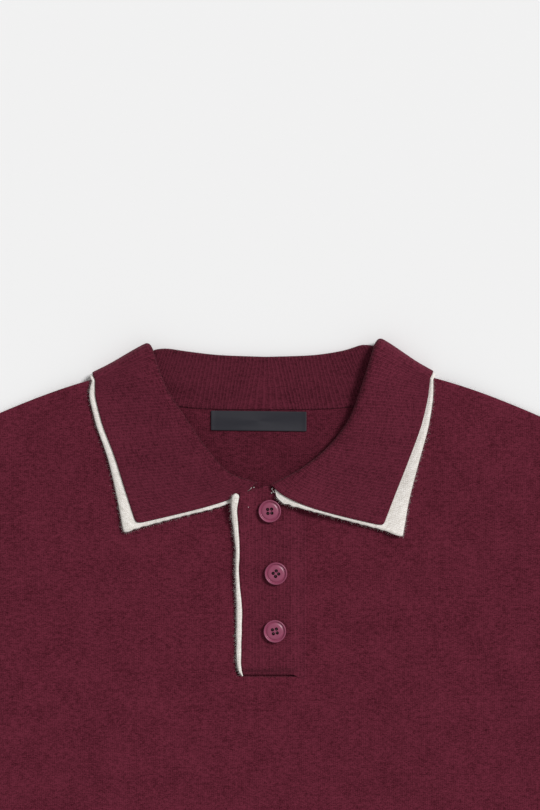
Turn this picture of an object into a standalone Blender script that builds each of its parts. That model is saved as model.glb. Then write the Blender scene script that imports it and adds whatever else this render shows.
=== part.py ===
"""Knitted polo sweater, laid flat on its back, as solids for each piece that a maker knits and sews.

X runs to the right as the garment is seen from above, Y towards the neck and Z up.
All sizes below are in millimetres, with the high points of the shoulders at y = 0,
and they become metres where the meshes are made. The origin is under the middle of
the whole garment, on the surface that it lies on.
"""
import math

import bmesh
import bpy
from mathutils import Vector

MM = 0.001

# Cloth and gaps
CLOTH = 1.8              # thickness of the knitted panels, the bands and the collar's face
UNDER_CLOTH = 1.2        # thickness of the collar's pale underlayer
LAYER_GAP = 0.8          # air between the back and the front
SEAM_GAP = 0.4           # parting between two pieces that are joined edge to edge
LAID_GAP = 0.35          # parting between a piece and what is sewn onto it
LEAF_GAP = 0.9           # air under the collar's leaf
CENTRE_Y = 338.3         # from the middle of the whole garment up to the shoulders' high points

# Body
NECK_HALF = 94.0
FRONT_NECK_DROP = 88.0
BACK_NECK_DROP = 28.0
BACK_NECK_POWER = 3.5    # flatness of the back neckline
SHOULDER_HALF = 230.0
SHOULDER_DROP = 46.0
SHOULDER_CURVE = 1.42    # how the shoulder's slope grows outwards
ARMHOLE_INNER = {-1: 200.5, 1: 206.0}   # narrowest half width, on the left and the right
ARMHOLE_WAIST = 0.6      # where the armhole is narrowest, from the underarm to the shoulder
ARMHOLE_HOLLOW = 2.6     # how fast the armhole hollows from the underarm
UNDERARM_HALF = 280.0
UNDERARM_Y = -229.0
RIB_TOP_Y = -635.0
RIB_TOP_HALF = 263.0
HEM_Y = -700.0
HEM_HALF = 250.0
RIB_DRAW = 2.0           # how far the hem's rib is drawn in where it starts

# Placket
BAND_LEFT = -19.5
BAND_RIGHT = 27.4
NOTCH_LEFT = -21.8
NOTCH_RIGHT = 27.8
BAND_BOTTOM = -227.6
UNDER_BAND_RIGHT = 17.5
BAND_STEP_AT = 18.5      # the top band comes down to the front's level from here outwards

# Mid heights of the layers, on the floor at 0
BACK_Z = CLOTH / 2
FRONT_Z = BACK_Z + CLOTH + LAYER_GAP
BAND_Z = FRONT_Z + CLOTH + LEAF_GAP
AXIS_Z = (BACK_Z + FRONT_Z) / 2
STAND_OFF = (FRONT_Z - BACK_Z) / 2                       # stand, from the middle of the stack
LEAF_OFF = STAND_OFF + CLOTH + LEAF_GAP + UNDER_CLOTH + SEAM_GAP   # face of the leaf, from there
UNDER_DROP = CLOTH / 2 + SEAM_GAP + UNDER_CLOTH / 2      # from the leaf's face to its underlayer
LIFT = LEAF_OFF + CLOTH / 2 - AXIS_Z                     # room for the back leaf under the back
LIFT_FROM_Y = -48.0
LIFT_FROM_X = 136.0
LIFT_RAMP = 60.0

WINE = (0.105, 0.0135, 0.027, 1)
CREAM = (0.78, 0.74, 0.69, 1)
BUTTON_PINK = (0.27, 0.05, 0.10, 1)
LABEL_BLACK = (0.03, 0.03, 0.036, 1)


def ease(t):
    """Smooth step from 0 to 1."""
    t = min(max(t, 0.0), 1.0)
    return t * t * (3 - 2 * t)


def mix(a, b, t):
    return a + (b - a) * t


def spread(first, last, steps):
    return [mix(first, last, i / steps) for i in range(steps + 1)]


def lift(x, y):
    """Height that the back leaf of the collar gives to what lies on it."""
    along = ease((y - LIFT_FROM_Y + LIFT_RAMP) / LIFT_RAMP)
    across = ease((LIFT_FROM_X + LIFT_RAMP - abs(x)) / LIFT_RAMP)
    return LIFT * along * across


# Broad soft swells of the top layer: middle, direction in degrees, half lengths and height
SWELLS = [
    dict(x=-118, y=-330, turn=78, long=190, wide=46, high=2.2),
    dict(x=132, y=-300, turn=100, long=170, wide=52, high=1.8),
    dict(x=30, y=-420, turn=84, long=150, wide=40, high=1.5),
    dict(x=-60, y=-560, turn=70, long=90, wide=34, high=1.6),
    dict(x=170, y=-520, turn=110, long=110, wide=38, high=1.7),
    dict(x=-188, y=-255, turn=58, long=70, wide=22, high=2.0),
    dict(x=196, y=-245, turn=124, long=66, wide=22, high=1.8),
    dict(x=340, y=-190, turn=-62, long=95, wide=26, high=2.4),
    dict(x=-345, y=-196, turn=-118, long=95, wide=26, high=2.4),
    dict(x=430, y=-400, turn=-70, long=90, wide=22, high=1.8),
    dict(x=-424, y=-385, turn=-110, long=80, wide=22, high=1.8),
]
# The top layer lies calm under the collar and round the placket, and the calm fades outwards
CALM_COLLAR = dict(half=150.0, low=-150.0, fade_x=40.0, fade_y=60.0)
CALM_PLACKET = dict(half=35.0, low=BAND_BOTTOM, fade_x=35.0, fade_y=50.0)


def swell(x, y):
    """Height of the soft swells in the front and the sleeves' tops."""
    height = 0.0
    for row in SWELLS:
        turn = math.radians(row["turn"])
        dx, dy = x - row["x"], y - row["y"]
        along = (dx * math.cos(turn) + dy * math.sin(turn)) / row["long"]
        across = (dy * math.cos(turn) - dx * math.sin(turn)) / row["wide"]
        height += row["high"] * ease(1 - math.hypot(along, across))
    calm = 0.0
    for row in (CALM_COLLAR, CALM_PLACKET):
        along = ease((y - row["low"]) / row["fade_y"] + 1)
        across = ease((row["half"] - abs(x)) / row["fade_x"] + 1)
        calm = max(calm, along * across)
    return height * (1 - calm)


def shoulder_y(half):
    out = max(half - NECK_HALF, 0) / (SHOULDER_HALF - NECK_HALF)
    return -SHOULDER_DROP * out ** SHOULDER_CURVE


def front_neck_y(x):
    return -FRONT_NECK_DROP * math.sqrt(max(1 - (x / NECK_HALF) ** 2, 0))


def back_neck_y(x):
    rest = max(1 - abs(x / NECK_HALF) ** BACK_NECK_POWER, 0)
    return -BACK_NECK_DROP * rest ** (1 / BACK_NECK_POWER)


def armhole_half(side, rise):
    """Half width at the armhole, for a rise from 0 at the underarm to 1 at the shoulder."""
    inner = ARMHOLE_INNER[side]
    if rise < ARMHOLE_WAIST:
        return inner + (UNDERARM_HALF - inner) * (1 - rise / ARMHOLE_WAIST) ** ARMHOLE_HOLLOW
    return inner + (SHOULDER_HALF - inner) * ((rise - ARMHOLE_WAIST) / (1 - ARMHOLE_WAIST)) ** 2


def armhole_point(side, rise):
    top = shoulder_y(SHOULDER_HALF)
    return Vector((side * armhole_half(side, rise), mix(UNDERARM_Y, top, rise), 0))


# A panel's columns: (side, x in the middle part, share of the way to the side edge)
OUTER_SHARES = [0.17, 0.36, 0.57, 0.79, 1.0]
ARMHOLE_RISES = [0.0, 0.05, 0.12, 0.22, 0.34, 0.48, 0.62, 0.75, 0.88, 1.0]
BODY_DROPS = [0.0, 0.16, 0.33, 0.5, 0.67, 0.84, 1.0]


def middle_xs():
    """Columns under the neckline, closer at its steep ends and on both edges of the placket."""
    left = math.acos(-NOTCH_LEFT / NECK_HALF)
    right = math.acos(NOTCH_RIGHT / NECK_HALF)
    xs = [-NECK_HALF * math.cos(a) for a in spread(0, left, 5)]
    xs += spread(NOTCH_LEFT, NOTCH_RIGHT, 3)[1:-1]
    xs += [NECK_HALF * math.cos(a) for a in spread(right, 0, 5)]
    return xs


def panel_columns():
    columns = [(-1, 0, share) for share in reversed(OUTER_SHARES)]
    columns += [(0, x, 0) for x in middle_xs()]
    columns += [(1, 0, share) for share in OUTER_SHARES]
    return columns


def side_half(y):
    return mix(UNDERARM_HALF, RIB_TOP_HALF, (UNDERARM_Y - y) / (UNDERARM_Y - RIB_TOP_Y))


def panel_point(column, rise, neck_y):
    """A point of a panel: rise runs from -1 at the rib to 0 at the underarm and 1 at the top."""
    side, x, share = column
    if rise <= 0:
        y = mix(UNDERARM_Y, RIB_TOP_Y + SEAM_GAP, -rise)
        half = side_half(y)
        top = UNDERARM_Y
    else:
        half = armhole_half(side, rise) if side else 0
        top = shoulder_y(mix(NECK_HALF, SHOULDER_HALF, share)) if side else neck_y(x)
        y = mix(UNDERARM_Y, top, rise)
    if side:
        x = side * mix(NECK_HALF, half, share)
    return Vector((x, y, 0))


def panel_rises():
    return [-drop for drop in reversed(BODY_DROPS)] + ARMHOLE_RISES[1:]


def new_object(name, bm, colour, roughness=0.9):
    """Turns a bmesh in millimetres into an object in metres, placed about the origin."""
    bmesh.ops.recalc_face_normals(bm, faces=bm.faces)
    bmesh.ops.translate(bm, verts=bm.verts, vec=(0, CENTRE_Y, 0))
    bmesh.ops.scale(bm, verts=bm.verts, vec=(MM, MM, MM))
    mesh = bpy.data.meshes.new(name)
    bm.to_mesh(mesh)
    bm.free()
    mesh.shade_smooth()
    mesh.set_sharp_from_angle(angle=math.radians(40))
    obj = bpy.data.objects.new(name, mesh)
    bpy.context.scene.collection.objects.link(obj)
    material = bpy.data.materials.new(name)
    material.use_nodes = True
    shader = material.node_tree.nodes["Principled BSDF"]
    shader.inputs["Base Color"].default_value = colour
    shader.inputs["Roughness"].default_value = roughness
    shader.inputs["Metallic"].default_value = 0
    mesh.materials.append(material)
    return obj


def wall(name, top, bottom, colour, ring=False, missing=()):
    """A closed wall between two grids of points, which are open sheets or rings of a tube.

    The grid's missing cells, as (row, column) pairs, make a notch in it.
    """
    bm = bmesh.new()
    grids = [[[bm.verts.new(p) for p in row] for row in grid] for grid in (top, bottom)]
    rows, count = len(top), len(top[0])
    steps = count if ring else count - 1
    for upper, flip in zip(grids, (False, True)):
        for i in range(rows - 1):
            for j in range(steps):
                if (i, j) in missing:
                    continue
                k = (j + 1) % count
                corners = [upper[i][j], upper[i][k], upper[i + 1][k], upper[i + 1][j]]
                a, b, c, d = reversed(corners) if flip else corners
                halves = ((a, b, d), (b, c, d)) if flip else ((a, b, c), (a, c, d))
                for half in halves:
                    bm.faces.new(half)
    pairs = {}
    for row_a, row_b in zip(*grids):
        pairs.update(zip(row_a, row_b))
    for edge in [e for e in bm.edges if len(e.link_faces) == 1]:
        a, b = edge.verts
        if a in pairs and b in pairs:
            bm.faces.new((a, b, pairs[b], pairs[a]))
    loose = [v for v in bm.verts if not v.link_faces]
    bmesh.ops.delete(bm, geom=loose, context="VERTS")
    return new_object(name, bm, colour)


def sheet(name, grid, height, colour, thickness=CLOTH, missing=()):
    """A wall lying on a grid of plan points, whose middle is at height(x, y)."""
    half = thickness / 2
    top = [[Vector((p.x, p.y, height(p.x, p.y) + half)) for p in row] for row in grid]
    low = [[Vector((p.x, p.y, height(p.x, p.y) - half)) for p in row] for row in grid]
    return wall(name, top, low, colour, missing=missing)


def back_height(x, y):
    return BACK_Z + lift(x, y)


def front_height(x, y):
    return FRONT_Z + lift(x, y) + swell(x, y)


def make_panels():
    columns = panel_columns()
    rises = panel_rises()
    back = [[panel_point(c, r, back_neck_y) for c in columns] for r in rises]
    sheet("back_panel", back, back_height, WINE)
    front = [[panel_point(c, r, front_neck_y) for c in columns] for r in rises]
    middle = [j for j, c in enumerate(columns) if NOTCH_LEFT - 1 < c[1] < NOTCH_RIGHT + 1 and not c[0]]
    low = rises.index(0.0)
    notch = {(i, j) for i in range(low, len(rises) - 1) for j in middle[:-1]}
    sheet("front_panel", front, front_height, WINE, missing=notch)


def table_slope(ats, values, i):
    """Slope of the curve at row i: between its neighbours' slopes, and 0 at a turning point."""
    last = len(ats) - 1
    steps = [(values[k + 1] - values[k]) / (ats[k + 1] - ats[k]) for k in (max(i - 1, 0), min(i, last - 1))]
    if i in (0, last):
        return steps[0] if i == last else steps[1]
    before, after = steps
    return 0 if before * after <= 0 else 2 * before * after / (before + after)


def read_table(rows, at):
    """Values between a table's rows, on a curve that never overshoots them.

    Before the first row and after the last one the curve runs on straight.
    """
    ats = [row["at"] for row in rows]
    k = max(i for i in range(len(rows) - 1) if ats[i] <= at or i == 0)
    span = ats[k + 1] - ats[k]
    t = (at - ats[k]) / span
    result = {}
    for key in rows[0]:
        values = [row[key] for row in rows]
        first, second = table_slope(ats, values, k) * span, table_slope(ats, values, k + 1) * span
        if t < 0:
            result[key] = values[k] + first * t
        elif t > 1:
            result[key] = values[k + 1] + second * (t - 1)
        else:
            result[key] = (values[k] * (1 + 2 * t) * (1 - t) ** 2 + first * t * (1 - t) ** 2
                           + values[k + 1] * t * t * (3 - 2 * t) + second * t * t * (t - 1))
    return result


# The top band's corner is raised by the left leaf's end under it, and comes down from it
OVER_LEAF = dict(high=4.1, right=-6.0, run_x=8.0, low=-118.0, run_y=19.0)
# Its top edge follows the neckline, and drops at its free corner
BAND_CORNER = dict(drop=3.6, right=-4.0)
BAND_XS = [BAND_LEFT, -15, -11.5, -8.5, -6, 0, 6, 12, BAND_STEP_AT, 21.5, 24.5, BAND_RIGHT]
NECK_SEAM = 1.0          # parting of the bands from the neckline
# The top band's free edge: up the placket, the right side of the pale tipping and its width
TIPPING = [
    dict(at=-227.6, right=-18.6, wide=2.0),
    dict(at=-217.5, right=-18.8, wide=3.4),
    dict(at=-202.5, right=-18.5, wide=3.9),
    dict(at=-180.0, right=-18.0, wide=4.3),
    dict(at=-165.0, right=-19.3, wide=3.5),
    dict(at=-150.0, right=-20.4, wide=2.8),
    dict(at=-135.0, right=-19.9, wide=3.0),
    dict(at=-120.0, right=-20.6, wide=3.9),
    dict(at=-105.0, right=-21.6, wide=4.5),
    dict(at=-93.0, right=-20.0, wide=5.4),
]


def band_height(x, y):
    """Mid height of the placket's top band, which rides over the left leaf's end."""
    row = OVER_LEAF
    over_leaf = ease((row["right"] - x) / row["run_x"]) * ease((y - row["low"]) / row["run_y"])
    down_to_front = ease((x - BAND_STEP_AT) / (BAND_RIGHT - BAND_STEP_AT))
    return mix(BAND_Z, FRONT_Z, down_to_front) + row["high"] * over_leaf + lift(x, y)


def band_top_y(x):
    """Top edge of the top band."""
    corner = ease((BAND_CORNER["right"] - x) / (BAND_CORNER["right"] - BAND_LEFT))
    return front_neck_y(x) - NECK_SEAM - BAND_CORNER["drop"] * corner


def strip(name, xs, rises, height, colour, top, lean=None):
    """An upright strip from the placket's foot up to top(x), shifted sideways by lean(x, y)."""
    grid = []
    for rise in rises:
        ys = [mix(BAND_BOTTOM, top(x), rise) for x in xs]
        grid.append([Vector((x + (lean(x, y) if lean else 0), y, 0)) for x, y in zip(xs, ys)])
    sheet(name, grid, height, colour)


def band_lean(x, y):
    """The top band's free edge keeps to the tipping, and the band gives way up to its button line."""
    free = read_table(TIPPING, y)["right"] + SEAM_GAP - BAND_LEFT
    return free * ease((BAND_CORNER["right"] - x) / (BAND_CORNER["right"] - BAND_LEFT))


def make_placket():
    """Two bands, one over the other, and the pale tipping on the top band's free edge."""
    under_xs = spread(NOTCH_LEFT + SEAM_GAP, UNDER_BAND_RIGHT, 4)
    strip("placket_under_band", under_xs, spread(0, 1, 8), lambda x, y: FRONT_Z + lift(x, y),
          WINE, top=lambda x: front_neck_y(x) - NECK_SEAM)
    rises = spread(0, 0.625, 8) + spread(0.625, 1, 6)[1:]
    strip("placket_top_band", BAND_XS, rises, band_height, WINE, top=band_top_y, lean=band_lean)
    grid = []
    for rise in rises:
        y = mix(BAND_BOTTOM, TIPPING[-1]["at"], rise)
        row = read_table(TIPPING, y)
        grid.append([Vector((x, y, 0)) for x in spread(row["right"] - row["wide"], row["right"], 2)])
    sheet("placket_tipping", grid, band_height, CREAM)


# Sleeve, right side: outline points of the flattened tube from the armhole to the cuff's end
SLEEVE = [
    dict(at=0.00, outer_x=230.0, outer_y=-46.0, inner_x=280.0, inner_y=-229.0, bend=1.0),
    dict(at=0.16, outer_x=300.0, outer_y=-77.0, inner_x=281.6, inner_y=-228.2, bend=0.7),
    dict(at=0.34, outer_x=376.0, outer_y=-112.0, inner_x=283.6, inner_y=-229.2, bend=0.3),
    dict(at=0.48, outer_x=432.0, outer_y=-144.0, inner_x=288.5, inner_y=-238.0, bend=0.0),
    dict(at=0.60, outer_x=474.0, outer_y=-214.0, inner_x=318.0, inner_y=-300.0, bend=0.0),
    dict(at=0.76, outer_x=501.0, outer_y=-340.0, inner_x=364.0, inner_y=-398.0, bend=0.0),
    dict(at=1.00, outer_x=527.0, outer_y=-533.0, inner_x=422.0, inner_y=-556.0, bend=0.0),
]
SLEEVE_STEPS = 11
CUFF = [
    dict(outer_x=521.0, outer_y=-535.3, inner_x=428.0, inner_y=-555.7),
    dict(outer_x=531.0, outer_y=-599.0, inner_x=440.0, inner_y=-616.0),
]


def flat_tube_ring(points, top_z):
    """Outer and inner ring of a flattened tube, over plan points from fold to fold."""
    half_outer, half_inner = (FRONT_Z - BACK_Z + CLOTH) / 2, LAYER_GAP / 2
    middle = Vector((0, 0, AXIS_Z))
    into_first = (points[1] - points[0]).normalized()
    into_last = (points[-2] - points[-1]).normalized()
    plan = [points[0] + into_first * half_outer, *points[1:-1], points[-1] + into_last * half_outer]
    outer = [Vector((p.x, p.y, top_z(p.x, p.y) + CLOTH / 2)) for p in plan]
    inner = [Vector((p.x, p.y, top_z(p.x, p.y) - CLOTH / 2)) for p in plan]
    outer.append(points[-1] + middle)
    inner.append(plan[-1] - into_last * half_inner + middle)
    outer += [Vector((p.x, p.y, BACK_Z - CLOTH / 2)) for p in reversed(plan)]
    inner += [Vector((p.x, p.y, BACK_Z + CLOTH / 2)) for p in reversed(plan)]
    outer.append(points[0] + middle)
    inner.append(plan[0] - into_first * half_inner + middle)
    return outer, inner


def sleeve_points(side, at):
    row = read_table(SLEEVE, at)
    outer = Vector((side * row["outer_x"], row["outer_y"], 0))
    inner = Vector((side * row["inner_x"], row["inner_y"], 0))
    top, low = armhole_point(side, 1.0), armhole_point(side, 0.0)
    points = []
    for rise in reversed(ARMHOLE_RISES):
        share = 1 - rise
        bow = armhole_point(side, rise) - top.lerp(low, share)
        points.append(outer.lerp(inner, share) + bow * row["bend"])
    gap = Vector((side * SEAM_GAP, SEAM_GAP, 0)) * (1 if at == 0 else 0)
    return [p + gap for p in points]


def make_sleeve(side, name):
    rings = [flat_tube_ring(sleeve_points(side, at), front_height)
             for at in spread(0, 1, SLEEVE_STEPS)]
    wall(name, [outer for outer, inner in rings], [inner for outer, inner in rings], WINE, ring=True)


# Ribs of the hem and the cuffs, raised on the outer face: four corners of each, across its pitch
RIB_PITCH = 9.0
RIB_HIGH = 0.7
RIB_CORNERS = [
    dict(place=0.30, high=0.0),
    dict(place=0.38, high=RIB_HIGH),
    dict(place=0.62, high=RIB_HIGH),
    dict(place=0.70, high=0.0),
]


def rib_shares(width):
    """Places across a rib band, with the four corners of each rib, and their heights."""
    count = round(width / RIB_PITCH)
    shares, heights = [0.0], [0.0]
    for k in range(count):
        for corner in RIB_CORNERS:
            shares.append((k + corner["place"]) / count)
            heights.append(corner["high"])
    return shares + [1.0], heights + [0.0]


def rib_band(name, left_top, right_top, left_end, right_end, base_z, ribbed):
    """A band with a plain lower face, and ribs down its upper face if it is ribbed."""
    bm = bmesh.new()
    width = (right_top - left_top).length
    shares, heights = rib_shares(width) if ribbed else ([0.0, 1.0], [0.0, 0.0])
    low, high = Vector((0, 0, base_z)), Vector((0, 0, base_z + CLOTH))
    rows = []
    for left, right in ((left_top, right_top), (left_end, right_end)):
        rows.append([bm.verts.new(left.lerp(right, s) + high + Vector((0, 0, h)))
                     for s, h in zip(shares, heights)])
    under = [bm.verts.new(p + low) for p in (left_top, right_top, right_end, left_end)]
    for j in range(len(shares) - 1):
        bm.faces.new((rows[0][j], rows[0][j + 1], rows[1][j + 1], rows[1][j]))
    bm.faces.new(under)
    bm.faces.new([*rows[0], under[1], under[0]])
    bm.faces.new([*rows[1], under[2], under[3]])
    bm.faces.new((rows[0][0], rows[1][0], under[3], under[0]))
    bm.faces.new((rows[0][-1], rows[1][-1], under[2], under[1]))
    new_object(name, bm, WINE)


def make_hem():
    top, end = RIB_TOP_Y - SEAM_GAP, HEM_Y
    half = RIB_TOP_HALF - RIB_DRAW
    corners = [Vector((-half, top, 0)), Vector((half, top, 0)),
               Vector((-HEM_HALF, end, 0)), Vector((HEM_HALF, end, 0))]
    rib_band("hem_rib_back", *corners, BACK_Z - CLOTH / 2, ribbed=False)
    rib_band("hem_rib_front", *corners, FRONT_Z - CLOTH / 2, ribbed=True)


def make_cuff(side, name):
    """A flattened rib tube: two layers joined along both edges and open at both ends."""
    tops, lows = [], []
    ends = [(Vector((side * row["outer_x"], row["outer_y"], 0)),
             Vector((side * row["inner_x"], row["inner_y"], 0))) for row in CUFF]
    shares, heights = rib_shares((ends[0][0] - ends[0][1]).length)
    for outer, inner in ends:
        ring, hollow = flat_tube_ring([outer.lerp(inner, s) for s in shares], lambda x, y: FRONT_Z)
        for p, h in zip(ring, heights):
            p.z += h
        tops.append(ring)
        lows.append(hollow)
    wall(name, tops, lows, WINE, ring=True)


# Collar stations from the front end of each half to the middle of the back. neck is the angle
# round the neckline, 90 at the middle of the front, 0 at the shoulder and -90 at the back.
# roll is the collar's fold and edge its outer edge, both as seen from above. turn says how far
# the leaf has gone round the shoulder, from over the front to under the back. fold is the
# fold's radius and tip the width of pale underlayer that shows.
LEFT_COLLAR = [
    dict(at=0, neck=82.5, roll_x=-7.0, roll_y=-84.6, edge_x=-97.0, edge_y=-115.1, fold=1.9, tip=10.5),
    dict(at=1, neck=71, roll_x=-25.9, roll_y=-78.4, edge_x=-104.8, edge_y=-91.0, fold=2.6, tip=7.2),
    dict(at=2, neck=55, roll_x=-45.4, roll_y=-57.8, edge_x=-112.9, edge_y=-64.5, fold=3.4, tip=5.2),
    dict(at=3, neck=39, roll_x=-62.3, roll_y=-33.0, edge_x=-122.8, edge_y=-37.4, fold=3.6, tip=4.4),
    dict(at=4, neck=25, roll_x=-75.0, roll_y=-12.8, edge_x=-127.2, edge_y=-17.3, fold=3.4, tip=4.1),
    dict(at=5, neck=0, roll_x=-84.4, roll_y=13.4, edge_x=-127.2, edge_y=-7.5, fold=2.6, tip=2.4),
    dict(at=6, neck=-28, roll_x=-75.0, roll_y=15.2, edge_x=-107.0, edge_y=-22.0, fold=2.6, tip=3.0),
    dict(at=7, neck=-50, roll_x=-60.0, roll_y=13.2, edge_x=-75.0, edge_y=-34.0, fold=2.6, tip=3.0),
    dict(at=8, neck=-78, roll_x=-33.0, roll_y=10.2, edge_x=-40.0, edge_y=-39.5, fold=2.6, tip=3.0),
    dict(at=9, neck=-90, roll_x=0.0, roll_y=9.0, edge_x=0.0, edge_y=-41.0, fold=2.6, tip=3.0),
]
RIGHT_COLLAR = [
    dict(at=0, neck=87.0, roll_x=4.6, roll_y=-85.4, edge_x=87.5, edge_y=-116.5, fold=1.9, tip=16.0),
    dict(at=1, neck=71, roll_x=26.3, roll_y=-74.3, edge_x=96.8, edge_y=-92.3, fold=2.6, tip=11.0),
    dict(at=2, neck=55, roll_x=46.9, roll_y=-57.4, edge_x=106.9, edge_y=-66.0, fold=3.4, tip=7.6),
    dict(at=3, neck=39, roll_x=63.0, roll_y=-35.3, edge_x=116.6, edge_y=-38.3, fold=3.8, tip=5.0),
    dict(at=4, neck=25, roll_x=72.0, roll_y=-10.9, edge_x=121.0, edge_y=-18.0, fold=3.8, tip=3.2),
    dict(at=5, neck=0, roll_x=80.6, roll_y=16.8, edge_x=122.2, edge_y=-6.4, fold=2.8, tip=2.2),
    dict(at=6, neck=-28, roll_x=72.8, roll_y=18.0, edge_x=104.0, edge_y=-21.0, fold=2.6, tip=3.0),
    dict(at=7, neck=-50, roll_x=57.5, roll_y=13.6, edge_x=73.0, edge_y=-33.6, fold=2.6, tip=3.0),
    dict(at=8, neck=-78, roll_x=31.5, roll_y=10.0, edge_x=40.0, edge_y=-39.5, fold=2.6, tip=3.0),
    dict(at=9, neck=-90, roll_x=0.0, roll_y=9.0, edge_x=0.0, edge_y=-41.0, fold=2.6, tip=3.0),
]
SHOULDER_AT = 5
FRONT_STEPS, BACK_STEPS = 3, 2   # sections between two rows of the table
TURN_STEPS = 6           # sections of the half turn round the shoulder
STAND_STEPS, FOLD_STEPS, LEAF_STEPS = 2, 4, 5
END_BOW = {-1: 5.2, 1: 6.0}   # bow of the collar's front ends, on the left and the right
END_BOW_REACH = 2.2      # table rows over which the bow fades
END_BOW_SKEW = 0.52      # the bow is fullest nearer the fold than the edge
UNDER_LEAF_RAMP = 32.0   # the leaf comes down from the placket to the front over this width
ROUND_SHOULDER = 1.0     # the stand stands off the stack's middle where it turns at the shoulder
ROUND_REACH = 1.5        # table rows from the shoulder over which that fades
RAISED_FROM = 3          # table rows before the shoulder where the fold starts to rise
LEAF_SETTLES = 0.8       # share of the leaf's width over which it comes down from the fold
UNDER_OVERHANG = {-1: 0.16, 1: 0.14}   # table rows by which the underlayer shows past the ends
NECK_INSET = 1.15        # the stand's edge lies this far inside the neckline


def neck_point(side, angle):
    """The collar's seam in plan, inside the neckline by the seam's parting."""
    c, s = math.cos(math.radians(angle)), math.sin(math.radians(angle))
    half = NECK_HALF - NECK_INSET
    if angle >= 0:
        return Vector((side * half * c, -(FRONT_NECK_DROP - NECK_INSET) * s, 0))
    power = 2 / BACK_NECK_POWER
    return Vector((side * half * c ** power, -(BACK_NECK_DROP - NECK_INSET) * (-s) ** power, 0))


def under_leaf(x, y, turn):
    """Extra height of the placket's band under the right leaf, none past the shoulder."""
    if turn > 0 or x < 0:
        return 0
    on_band = band_height(min(x, BAND_STEP_AT), y) - FRONT_Z - lift(min(x, BAND_STEP_AT), y)
    return on_band * ease((BAND_RIGHT + UNDER_LEAF_RAMP - x) / UNDER_LEAF_RAMP)


def section(side, rows, at, turn):
    """One section across the collar: points of the stand and fold, and of the leaf, each with
    the way that its face looks, and the point that its underlayer reaches."""
    row = read_table(rows, at)
    seam = neck_point(side, row["neck"])
    roll = Vector((row["roll_x"], row["roll_y"], 0))
    edge = Vector((row["edge_x"], row["edge_y"], 0))
    inward = (roll - edge).normalized()
    centre = roll - inward * row["fold"]
    up_stand = (centre - seam).normalized()
    angle = math.radians(turn)

    def outward(share):
        """From the stack's middle to the leaf, from the stand's foot to its fold."""
        along = up_stand.lerp(inward, share)
        aside = Vector((-along.y, along.x, 0)).normalized() * -side
        return aside * math.sin(angle) + Vector((0, 0, math.cos(angle)))
    out = outward(1)
    fold = row["fold"]
    stand_off = STAND_OFF + ROUND_SHOULDER * ease(ROUND_REACH - abs(at - SHOULDER_AT))
    centre_off = stand_off + fold
    raised = (centre_off + fold - LEAF_OFF) * ease((at - SHOULDER_AT) / RAISED_FROM + 1)

    def lay(plan, off, share=0.0, facing=None):
        base = AXIS_Z + lift(plan.x, plan.y) + under_leaf(plan.x, plan.y, turn) + raised * share
        return plan + Vector((0, 0, base)) + (facing or out) * off

    stand_and_fold, leaf = [], []
    for f in spread(0, 1, STAND_STEPS)[:-1]:
        facing = outward(ease(f))
        place = lay(seam.lerp(centre, f), mix(STAND_OFF, stand_off, ease(f)), ease(f), facing)
        stand_and_fold.append((place, -facing))
    for f in spread(-math.pi / 2, math.pi / 2, FOLD_STEPS):
        facing = inward * math.cos(f) + out * math.sin(f)
        stand_and_fold.append((lay(centre, centre_off, 1.0) + facing * fold, facing))
    for f in spread(0, 1, LEAF_STEPS)[1:]:
        down = ease(f / LEAF_SETTLES)
        bow = END_BOW[side] * ease(1 - at / END_BOW_REACH) * math.sin(math.pi * f ** END_BOW_SKEW)
        plan = centre.lerp(edge, f) + Vector((-inward.y * side, inward.x * side, 0)) * bow
        leaf.append((lay(plan, mix(centre_off + fold, LEAF_OFF, down), 1 - down), out))
    beyond = (lay(edge - inward * row["tip"], LEAF_OFF), out)
    return stand_and_fold, leaf, beyond


def half_stations():
    """(at, turn) pairs along one half of the collar, with the turn made at the shoulder."""
    last = LEFT_COLLAR[-1]["at"]
    stations = [(i / FRONT_STEPS, 0.0) for i in range(SHOULDER_AT * FRONT_STEPS)]
    stations += [(SHOULDER_AT, 180 * i / TURN_STEPS) for i in range(TURN_STEPS + 1)]
    stations += [(SHOULDER_AT + i / BACK_STEPS, 180.0)
                 for i in range(1, (last - SHOULDER_AT) * BACK_STEPS + 1)]
    return stations


def offset_grid(grid, distance):
    """Points moved along the way that the cloth faces."""
    return [[place + facing * distance for place, facing in row] for row in grid]


def make_collar():
    stations = half_stations()
    left = [section(-1, LEFT_COLLAR, at, turn) for at, turn in stations]
    right = [section(1, RIGHT_COLLAR, at, turn) for at, turn in stations[:-1]]
    whole = left + right[::-1]
    face = [points + leaf for points, leaf, beyond in whole]
    wall("collar_outer", offset_grid(face, CLOTH / 2), offset_grid(face, -CLOTH / 2), WINE)
    ends = [section(side, rows, -UNDER_OVERHANG[side], 0.0)
            for side, rows in ((-1, LEFT_COLLAR), (1, RIGHT_COLLAR))]
    whole = [ends[0]] + whole + [ends[1]]
    under = [leaf + [beyond] for points, leaf, beyond in whole]
    drops = (-UNDER_DROP + UNDER_CLOTH / 2, -UNDER_DROP - UNDER_CLOTH / 2)
    grids = [offset_grid(under, drop) for drop in drops]
    wall("collar_under", *grids, CREAM)


# Buttons, and where their middles lie on the top band; turn is how the holes are turned
BUTTON_ACROSS = 17.4
BUTTON_THICK = 2.8
BUTTONS = [
    dict(x=2.8, y=-106.2, turn=4),
    dict(x=7.4, y=-152.8, turn=38),
    dict(x=6.6, y=-195.8, turn=12),
]
HOLE_ACROSS = 2.5
HOLE_REACH = 2.35
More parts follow.
